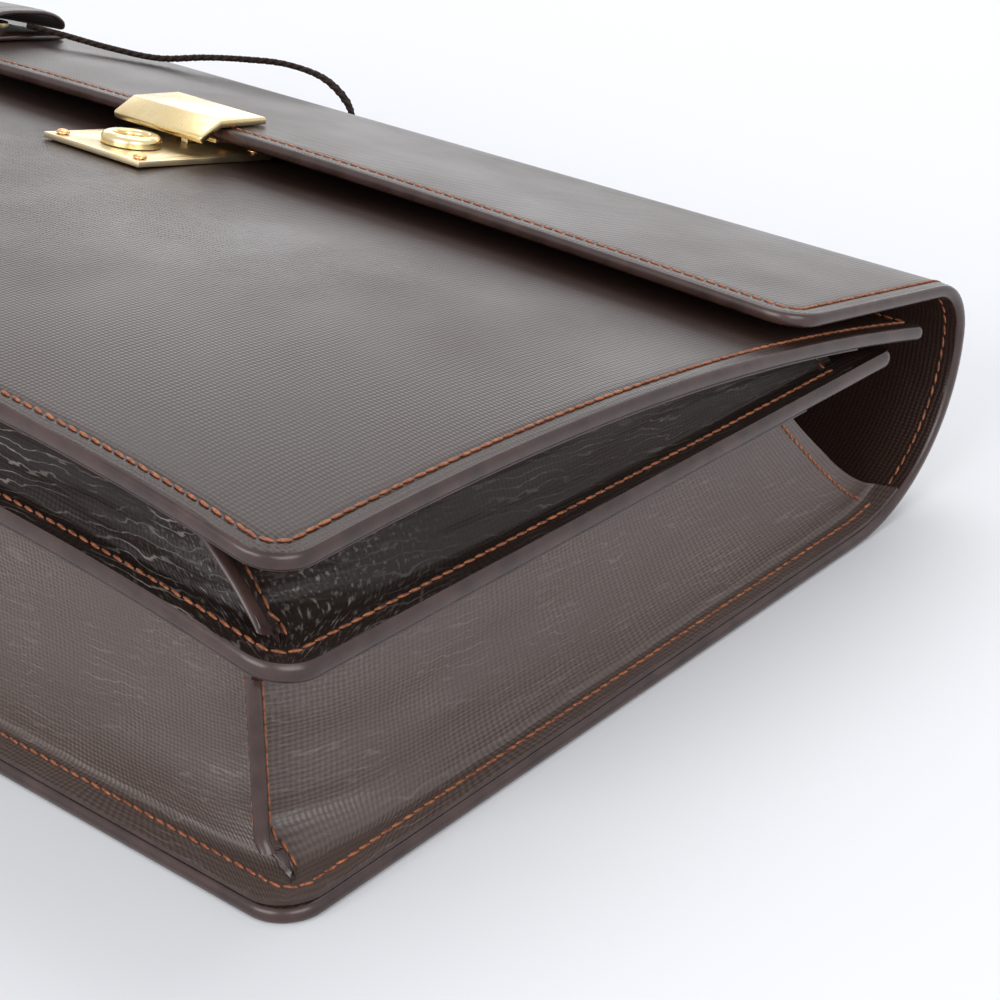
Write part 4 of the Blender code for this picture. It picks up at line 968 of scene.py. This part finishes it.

# Cord: two strands of a dark plaited cord, from the left handle bracket over the top turn to the
# key bell. Each strand is three plies.
END_Y, END_Z = STRIP_ROWS[-2][:2]
CORD_DIAMETER, CORD_SPACING, CORD_STEP = 0.0024, 0.0032, 0.00045
PLY_RADIUS, PLY_SWING, PLY_RISE, PLAIT_LENGTH = 0.00056, 0.00066, 0.00042, 0.0086
CORD_ON_FLAP = (
    (-0.1130, 0.2100, 0.0046),
    (-0.1040, 0.2150, 0.0040),
    (-0.0900, 0.2230, 0.0026),
    (-0.0760, 0.2310, 0.0022),
)
CORD_OVER_EDGE = (
    (-0.0640, 0.2400, 0.0655),
    (-0.0540, 0.2480, 0.0650),
    (-0.0420, 0.2545, 0.0642),
    (-0.0290, 0.2580, 0.0612),
    (-0.0200, 0.2590, 0.0540),
    (-0.0190, 0.2580, 0.0455),
    (-0.0260, 0.2570, 0.0364),
    (-0.0370, 0.2565, 0.0309),
    (-0.0440, 0.2565, 0.0289),
)
CORD_LIE = Vector((0, 0.45, 1))

plait, plait_tree, plait_shader = finish_of("plaited_cord", 0.7)
plait_shader.inputs["Specular IOR Level"].default_value = 0.15
plait_place = stretched(plait_tree, hide_place(plait_tree), (500, 4200, 1))
plait_fibres = cloud(plait_tree, plait_place, 1.0, 3.0)
lay_tones(plait_tree, plait_shader, plait_fibres, (0.3, 0.007, 0.004, 0.0032), (0.72, 0.040, 0.024, 0.019))
raised(plait_tree, plait_shader, plait_fibres, 0.5)


def on_flap(x, y, lift):
    """A point over the flap's outer face."""
    run = (END_Y - y) / cos(FLAP_SLOPE)
    rise = run * sin(FLAP_SLOPE) + flap_crown(x, run) + lift * cos(FLAP_SLOPE)
    return placed(x, y + lift * sin(FLAP_SLOPE), END_Z + rise)


def even_steps(points, step):
    """Points at equal distances along a line of points."""
    runs = runs_of(points)
    count = round(runs[-1] / step)
    line = []
    for n in range(count + 1):
        k, t = locate(runs, runs[-1] * n / count)
        line.append(points[k].lerp(points[k + 1], t))
    return line


def ahead_of(line, k):
    """The way a line of points runs at one of them."""
    return (line[min(k + 1, len(line) - 1)] - line[max(k - 1, 0)]).normalized()


def round_tube(bm, line, radius, sides):
    """A round tube along a line of points."""
    rings = []
    aside = ahead_of(line, 0).orthogonal().normalized()
    for k, point in enumerate(line):
        ahead = ahead_of(line, k)
        aside = (aside - ahead * aside.dot(ahead)).normalized()
        up = ahead.cross(aside)
        rings.append([point + (aside * cos(a) + up * sin(a)) * radius for a in turns_of(sides)])
    add_tube(bm, rings)


cord_knots = [placed(x, y, z) for x, y, z in reversed(CORD_OVER_EDGE)]
cord_knots += [on_flap(x, y, lift) for x, y, lift in reversed(CORD_ON_FLAP)]
cord_line = even_steps([Vector(p) for p in smooth_line(cord_knots, 16)], CORD_STEP)
for strand, shift in (("front", -CORD_SPACING / 2), ("back", CORD_SPACING / 2)):
    route = []
    for k, point in enumerate(cord_line):
        route.append(point + ahead_of(cord_line, k).cross(CORD_LIE).normalized() * shift)
    route = even_steps(route, CORD_STEP)
    plies = bmesh.new()
    for ply in range(3):
        line = []
        for k, point in enumerate(route):
            ahead = ahead_of(route, k)
            aside = ahead.cross(CORD_LIE).normalized()
            phase = 2 * pi * (k * CORD_STEP / PLAIT_LENGTH + ply / 3)
            rise = aside.cross(ahead) * PLY_RISE * sin(2 * phase)
            line.append(point + aside * PLY_SWING * sin(phase) + rise)
        round_tube(plies, line, PLY_RADIUS, 8)
    cord = add_piece(f"cord_{strand}_plait", plies, (plait,))
    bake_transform(cord)
    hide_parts(f"cord_{strand}", f"cord_{strand}_end")

KNOT_RADIUS, KNOT_LOOP, KNOT_SWAY, KNOT_DEPTH = 0.0034, 0.0014, 0.0007, 0.0013
KNOT_STRAND, KNOT_STEPS = 0.00115, 96
knot_middle = cord_line[0] - Vector((KNOT_RADIUS + GAP, 0, 0))
knot_line = []
for k in range(KNOT_STEPS + 1):
    turn = 2 * pi * k / KNOT_STEPS
    reach = KNOT_LOOP + KNOT_SWAY * cos(3 * turn)
    twist = Vector((KNOT_DEPTH * sin(3 * turn), reach * cos(2 * turn), reach * sin(2 * turn)))
    knot_line.append(knot_middle + twist)
knot = bmesh.new()
round_tube(knot, knot_line, KNOT_STRAND, 10)
settle(add_piece("cord_tie", knot, (plait,)), "braided_cord", "case", "cord_knot")

# Brass: polished and warm, with fine scratches that run every way and a little tarnish.
# The rivets are coppery, the hidden lock parts plain steel and the zip bright nickel.
SCRATCHES = ((0.5, (160, 5200, 160)), (1.9, (5200, 200, 160)), (2.6, (180, 4300, 4300)))
SCRATCH_BUMP, TARNISH_ROUGHNESS = 0.05, 0.14
rub, _, rub_out = new_group("fine_scratches", (), (("Tarnish", FLOAT), ("Height", FLOAT)))
rub_place = object_place(rub)
scratches = 0.0
for turn, stretch in SCRATCHES:
    streak = cloud(rub, stretched(rub, rub_place, stretch, (turn, turn / 2, turn)), 1.0, 2.0)
    scratches = reckon(rub, "ADD", streak, scratches)
rub.links.new(cloud(rub, rub_place, 190.0, 4.0), rub_out.inputs["Tarnish"])
rub.links.new(scratches, rub_out.inputs["Height"])


def metal_finish(name, bright, dull, roughness):
    """Polished metal, a little duller and darker in cloudy spots."""
    made, tree, shader = finish_of(name, roughness, 1.0)
    marks = wire(tree, "ShaderNodeGroup", node_tree=rub)
    tarnish = remap(tree, marks.outputs["Tarnish"], 0.4, 0.75)
    tree.links.new(mixed(tree, tarnish, (*bright, 1), (*dull, 1)), shader.inputs["Base Color"])
    rough = remap(tree, tarnish, 0.0, 1.0, roughness, roughness + TARNISH_ROUGHNESS)
    tree.links.new(rough, shader.inputs["Roughness"])
    raised(tree, shader, marks.outputs["Height"], SCRATCH_BUMP)
    return made


brass = metal_finish("polished_brass", (0.80, 0.64, 0.36), (0.68, 0.51, 0.25), 0.22)
satin_brass = metal_finish("satin_brass", (0.78, 0.65, 0.42), (0.69, 0.55, 0.32), 0.34)
copper = metal_finish("rivet_copper", (0.86, 0.46, 0.20), (0.60, 0.27, 0.10), 0.20)
steel = metal_finish("lock_steel", (0.58, 0.58, 0.58), (0.40, 0.40, 0.41), 0.30)
nickel = metal_finish("zip_nickel", (0.80, 0.80, 0.79), (0.60, 0.59, 0.57), 0.18)


def polished(node, body, finish, slot, bevel=0.00025):
    """A copy of a metal solid with its edges rounded off."""
    bm = bmesh.new()
    bm.from_mesh(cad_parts[node].data)
    bmesh.ops.remove_doubles(bm, verts=bm.verts, dist=1e-6)
    bmesh.ops.dissolve_limit(bm, angle_limit=radians(1.5), verts=bm.verts, edges=bm.edges)
    sharp = [edge for edge in bm.edges if edge.is_manifold and edge.calc_face_angle() > radians(28)]
    shape = {"segments": 2, "profile": 0.5, "affect": "EDGES", "clamp_overlap": True}
    bmesh.ops.bevel(bm, geom=sharp, offset=bevel, offset_type="OFFSET", **shape)
    made = add_piece(f"{node}_metal", bm, (finish,), 32)
    settle(made, slot, body, node)
    return made


def turned(profile, segments, place=Matrix()):
    """A profile of radius and height turned round the local Z axis."""
    bm = bmesh.new()
    rings = []
    for radius, height in profile:
        turns = turns_of(segments if radius else 1)
        rings.append([bm.verts.new((radius * cos(a), radius * sin(a), height)) for a in turns])
    for one, two in zip(rings, rings[1:] + rings[:1]):
        for k in range(segments):
            ring = one[k % len(one)], one[(k + 1) % len(one)], two[(k + 1) % len(two)], two[k % len(two)]
            corners = list(dict.fromkeys(ring))
            if len(corners) > 2:
                bm.faces.new(corners)
    bm.transform(place)
    return bm


# Lock: a riveted brass plate on the front panel with a round key bezel, whose plug turns,
# and behind it a steel tray with the sliding bolt.
HEM_Y, HEM_Z = STRIP_ROWS[-1][:2]
LOCK_Y = HEM_Y - 0.0088
PLATE_TOP = 0.0018
PLATE_RIVET = Vector((0.0154, 0.0214, 0))
BEZEL_V, BEZEL_RADIUS, BEZEL_BORE, BEZEL_LOW, BEZEL_HEIGHT = -0.0105, 0.0083, 0.0044, 0.0021, 0.0030
BEZEL_WALL, BEZEL_ROUND, BEZEL_LIP = 0.0012, 0.0018, 0.0012
RIVET_HEAD, RIVET_DOME = 0.0019, 0.0011

lock_normal = Vector((0, front_z(0, LOCK_Y - 0.0005) - front_z(0, LOCK_Y + 0.0005), 0.001)).normalized()
lock_up = lock_normal.cross(Vector((1, 0, 0)))
lock_turn = Matrix(((1, 0, 0), lock_up, lock_normal)).transposed().to_4x4()
lock_place = Matrix.Translation(on_front(0, LOCK_Y, 0)) @ lock_turn
polished("lock_plate", "case", satin_brass, "polished_brass", 0.0003)
polished("key_plug", "key_plug", brass, "polished_brass", 0.0002)
polished("lock_case", "case", steel, "lock_steel")
polished("lock_bolt", "lock_bolt", steel, "lock_steel")

bezel_arc = [pi / 2 * k / 8 for k in range(9)]
bezel_wall_top = BEZEL_LOW + BEZEL_WALL
bezel_profile = [(BEZEL_BORE, BEZEL_LOW), (BEZEL_RADIUS, BEZEL_LOW), (BEZEL_RADIUS, bezel_wall_top)]
for a in bezel_arc[1:]:
    outer = BEZEL_RADIUS - BEZEL_ROUND + BEZEL_ROUND * cos(a)
    bezel_profile.append((outer, bezel_wall_top + (BEZEL_HEIGHT - BEZEL_WALL) * sin(a)))
for a in bezel_arc:
    inner = BEZEL_BORE + BEZEL_LIP * (1 - sin(a))
    bezel_profile.append((inner, BEZEL_LOW + BEZEL_HEIGHT - BEZEL_LIP * (1 - cos(a))))
bezel_shape = turned(bezel_profile, 72, lock_place @ Matrix.Translation((0, BEZEL_V, 0)))
settle(add_piece("key_bezel", bezel_shape, (brass,), 40), "polished_brass", "case", "lock_bezel")

dome_arc = [pi / 2 * k / 6 for k in range(7)]
dome = [(0, -0.25), (0.55, -0.25), (0.55, 0), (0.96, 0), (1, 0.05)]
dome += [(cos(a), 0.06 + 0.94 * sin(a)) for a in dome_arc[:-1]] + [(0, 1)]
rivet_shape = pattern_piece("one_rivet", turned(dome, 20))


def rivets(name, body, finish, slot, spots, nodes):
    """Domed rivet heads at some places, each with its way out."""
    points = []
    for place, out in spots:
        points.append((place, out.orthogonal().normalized(), out))
    made = set_on_points(name, points, rivet_shape, (RIVET_HEAD, RIVET_HEAD, RIVET_DOME), finish)
    settle(made, slot, body, *nodes)


plate_spots = []
for u, v in ((-1, -1), (1, -1), (-1, 1), (1, 1)):
    spot = lock_place @ Vector((u * PLATE_RIVET.x, v * PLATE_RIVET.y, PLATE_TOP + GAP))
    plate_spots.append((spot, lock_normal))
plate_nodes = [f"plate_rivet_{k}" for k in range(1, 5)]
rivets("plate_rivets", "case", copper, "rivet_copper", plate_spots, plate_nodes)

# Hasp: a thick brass plate bent down over the middle of the flap's hem, with a backing plate,
# two rivets and the staple that the bolt goes through.
HASP_RIVET = Vector((0.0095, 0.0090, -0.0049))
polished("hasp_front", "flap", brass, "polished_brass", 0.0005)
polished("hasp_back", "flap", brass, "polished_brass")
polished("hasp_staple", "flap", brass, "polished_brass")
up_flap = Vector((0, cos(FLAP_SLOPE), -sin(FLAP_SLOPE)))
flap_out = Vector((1, 0, 0)).cross(up_flap)
hem_middle = placed(0, HEM_Y, HEM_Z + FLAP_CROWN)
hasp_spots = []
for u in (-1, 1):
    spot = hem_middle + Vector((u * HASP_RIVET.x, 0, 0)) + up_flap * HASP_RIVET.y
    hasp_spots.append((spot + flap_out * (HASP_RIVET.z - GAP), -flap_out))
rivets("hasp_rivets", "flap", copper, "rivet_copper", hasp_spots, ("hasp_rivet_1", "hasp_rivet_2"))

# Handle: brass brackets riveted to the curl of the back, each with a pin, and a rolled leather
# grip that swings on them, sewn along its inside.
HANDLE_HALF, HANDLE_REACH, GRIP_START = 0.062, 0.048, 0.0098
GRIP_RADIUS, GRIP_END_RADIUS, GRIP_ARCH_POWER = 0.0085, 0.0058, 0.6
GRIP_STEPS, GRIP_SIDES, GRIP_SEAM_WIDTH = 96, 40, 1.6
GRIP_FOLD, GRIP_SEAM_DEPTH, GRIP_INSET, GRIP_STITCH_INSET = 0.0004, 0.0007, 0.0003, 0.0008
GRIP_FOLDS_ALONG, GRIP_FOLDS_ROUND, GRIP_SEAM_START = 9, 2.2, 6
HANDLE_PIVOT = Vector((0, 0.101067, 0.0289))
HANDLE_DROOP = radians(17.9195)
handle_out = Vector((0, cos(HANDLE_DROOP), -sin(HANDLE_DROOP)))
handle_up = Vector((0, sin(HANDLE_DROOP), cos(HANDLE_DROOP)))
for side in ("right", "left"):
    polished(f"handle_bracket_{side}", "case", brass, "polished_brass")
    polished(f"handle_pin_{side}", "case", brass, "polished_brass")
    polished(f"handle_eye_{side}", "handle", brass, "polished_brass")


def grip_ring(turn):
    """Middle of the grip, its way out of the arch and its radius, at a turn from 0 to pi."""
    rise = GRIP_START + (HANDLE_REACH - GRIP_START) * sin(turn) ** GRIP_ARCH_POWER
    middle = HANDLE_PIVOT + Vector((HANDLE_HALF * cos(turn), 0, 0)) + handle_out * rise
    lean = Vector((cos(turn) ** 3, 0, 0)) + handle_out * (1 - abs(cos(turn)) ** 3)
    radius = GRIP_END_RADIUS + (GRIP_RADIUS - GRIP_END_RADIUS) * ease(2 * sin(turn) ** 2)
    return middle, lean.normalized(), radius


grip = bmesh.new()
grip_rings, grip_seam = [], []
for k in range(GRIP_STEPS + 1):
    turn = pi * (0.5 - 0.5 * cos(pi * k / GRIP_STEPS))
    middle, lean, radius = grip_ring(turn)
    ring = []
    for n, a in enumerate(turns_of(GRIP_SIDES)):
        around = GRIP_FOLDS_ROUND * cos(a), GRIP_FOLDS_ROUND * sin(a)
        fold = GRIP_FOLD * noise.noise(Vector((turn * GRIP_FOLDS_ALONG, *around)))
        seam = GRIP_SEAM_DEPTH * exp(-(((n - GRIP_SIDES / 2) / GRIP_SEAM_WIDTH) ** 2))
        ring.append(middle + (lean * cos(a) + handle_up * sin(a)) * (radius + fold - seam - GRIP_INSET))
    grip_rings.append(ring)
    grip_seam.append((middle - lean * (radius - GRIP_STITCH_INSET), -lean))
add_tube(grip, grip_rings)
settle(add_piece("rolled_grip", grip, (hide,), 50), "brown_leather", "handle", "handle_grip")
sew("grip_stitches", [grip_seam[GRIP_SEAM_START:-GRIP_SEAM_START]], "handle")

CURL_MIDDLE = placed(0, 0.24882, 0.0313)
BRACKET_RIVET, BRACKET_TOP = 0.0094, 0.0021
bracket_spots, bracket_nodes = [], []
for side, x in (("right", HANDLE_HALF), ("left", -HANDLE_HALF)):
    for end, u in (("inner", BRACKET_RIVET), ("outer", -BRACKET_RIVET)):
        bracket_spots.append((CURL_MIDDLE + Vector((x + u, 0, 0)) + handle_out * BRACKET_TOP, handle_out))
        bracket_nodes.append(f"bracket_rivet_{side}_{end}")
rivets("bracket_rivets", "case", brass, "polished_brass", bracket_spots, bracket_nodes)

# Zip: a woven tape under the divider with two rows of nickel teeth, a slider and its pull.
ZIP_Y, ZIP_LEFT, ZIP_RIGHT, ZIP_HALF_WIDTH = 0.1835, -0.170, 0.197, 0.007
TAPE_TOP, TAPE_THICK, TEETH_MIDDLE = -0.0003, 0.0008, -0.0021
TAPE_STEPS, TAPE_HALF_STEPS = 60, 6
TEETH_END, TOOTH_PITCH, TOOTH_SIDE = 0.004, 0.0013, 0.0009
TOOTH_SIZE, TOOTH_BEVEL = (0.00085, 0.0026, 0.0013), 0.16
WARP_PITCH, WEFT_PITCH = 0.0007, 0.0005
zip_slope = atan2(DIVIDER_SLOPE, 1)
zip_up = Vector((0, sin(zip_slope), cos(zip_slope)))
zip_across = Vector((0, cos(zip_slope), -sin(zip_slope)))
zip_middle = placed(0, ZIP_Y, DIVIDER_HEIGHT - DIVIDER_SLOPE * ZIP_Y - DIVIDER_THICK)

weave, weave_tree, weave_shader = finish_of("zip_tape_weave", 0.8)
weave_split = wire(weave_tree, "ShaderNodeSeparateXYZ", {0: hide_place(weave_tree)})
waves = []
for axis, pitch in enumerate((WARP_PITCH, WEFT_PITCH)):
    phase = reckon(weave_tree, "MULTIPLY", weave_split.outputs[axis], 2 * pi / pitch)
    waves.append(reckon(weave_tree, "SINE", phase))
woven = reckon(weave_tree, "MULTIPLY_ADD", *waves, 0.5)
lay_tones(weave_tree, weave_shader, woven, (0, 0.020, 0.013, 0.011), (1, 0.052, 0.038, 0.033))
raised(weave_tree, weave_shader, woven, 0.6)

tape_rows = []
for k in range(TAPE_STEPS + 1):
    x = ZIP_LEFT + (ZIP_RIGHT - ZIP_LEFT) * k / TAPE_STEPS
    row = []
    for n in range(2 * TAPE_HALF_STEPS + 1):
        v = ZIP_HALF_WIDTH * (n / TAPE_HALF_STEPS - 1)
        row.append(zip_middle + Vector((x, 0, 0)) + zip_across * v + zip_up * TAPE_TOP)
    tape_rows.append((x, row))
tape = thin_wall("woven_tape", tape_rows, TAPE_THICK, (weave, weave))
settle(tape, "zip_tape", "case", "zip_tape")

tooth = bmesh.new()
bmesh.ops.create_cube(tooth, size=1.0)
bmesh.ops.bevel(tooth, geom=tooth.edges, offset=TOOTH_BEVEL, segments=1, affect="EDGES")
tooth_shape = pattern_piece("one_tooth", tooth)
teeth = []
for k in range(round((ZIP_RIGHT - ZIP_LEFT - 2 * TEETH_END) / TOOTH_PITCH)):
    for row, way in ((0, 1), (0.5, -1)):
        x = ZIP_LEFT + TEETH_END + (k + row + 0.25) * TOOTH_PITCH
        spot = zip_middle + Vector((x, 0, 0)) + zip_across * way * TOOTH_SIDE + zip_up * TEETH_MIDDLE
        teeth.append((spot, Vector((1, 0, 0)), zip_up))
zip_rows = set_on_points("zip_rows", teeth, tooth_shape, TOOTH_SIZE, nickel)
settle(zip_rows, "zip_nickel", "case", "zip_teeth")
polished("zip_slider", "zip_slider", nickel, "zip_nickel", 0.0003)
polished("zip_pull", "zip_slider", nickel, "zip_nickel", 0.0003)

# Key bell: a flat leaf of leather on the flap and an arched one sewn to it, with a brass key between
# them. Its mouth faces the top turn, where the cord comes out.
BELL_X, BELL_Y, BELL_TURN = -0.110, 0.206, radians(195)
BELL_LENGTH, BELL_HALF, BELL_NECK_HALF = 0.070, 0.024, 0.011
BELL_LEAF, BELL_GAP, BELL_TAPER = 0.0018, 0.0060, 0.6
BELL_OUTLINE = (BELL_HALF, 0.0, BELL_LENGTH, 0.004, 0.005)
BELL_SEAM, BELL_SEAM_START, BELL_SEAM_POINTS, BELL_SEAM_LIFT = 0.0030, 0.004, 78, 0.0001
BELL_GRID = 0.004


def on_bell(top, gap):
    """A place function for one leaf of the bell, by how high its outer face lies."""

    def place(x, s, lift):
        share, side = s / BELL_LENGTH, x / BELL_HALF
        across = x * (1 + (BELL_NECK_HALF / BELL_HALF - 1) * ease(share))
        rise = top + gap * (1 - side ** 4) * (1 - BELL_TAPER * share ** 2) + lift
        turn_x = BELL_X + s * cos(BELL_TURN) - across * sin(BELL_TURN)
        return on_flap(turn_x, BELL_Y + s * sin(BELL_TURN) + across * cos(BELL_TURN), rise)

    return place


upper_leaf = on_bell(2 * GAP + 2 * BELL_LEAF, BELL_GAP)
for node, place in (("bell_back", on_bell(GAP + BELL_LEAF, 0.0)), ("bell_front", upper_leaf)):
    leaf = leather_sheet(f"{node}_leaf", BELL_OUTLINE, place, BELL_LEAF, step=BELL_GRID)
    settle(leaf, "brown_leather", "flap", node)
bell_paths = []
for side in (-1, 1):
    x = side * (BELL_HALF - BELL_SEAM)
    spots = [(x, BELL_SEAM_START + PATH_STEP * k) for k in range(BELL_SEAM_POINTS)]
    bell_paths.append(surface_path(upper_leaf, spots, BELL_SEAM_LIFT))
sew("bell_seam", bell_paths, "flap")
brass_key = polished("key", "flap", brass, "polished_brass")
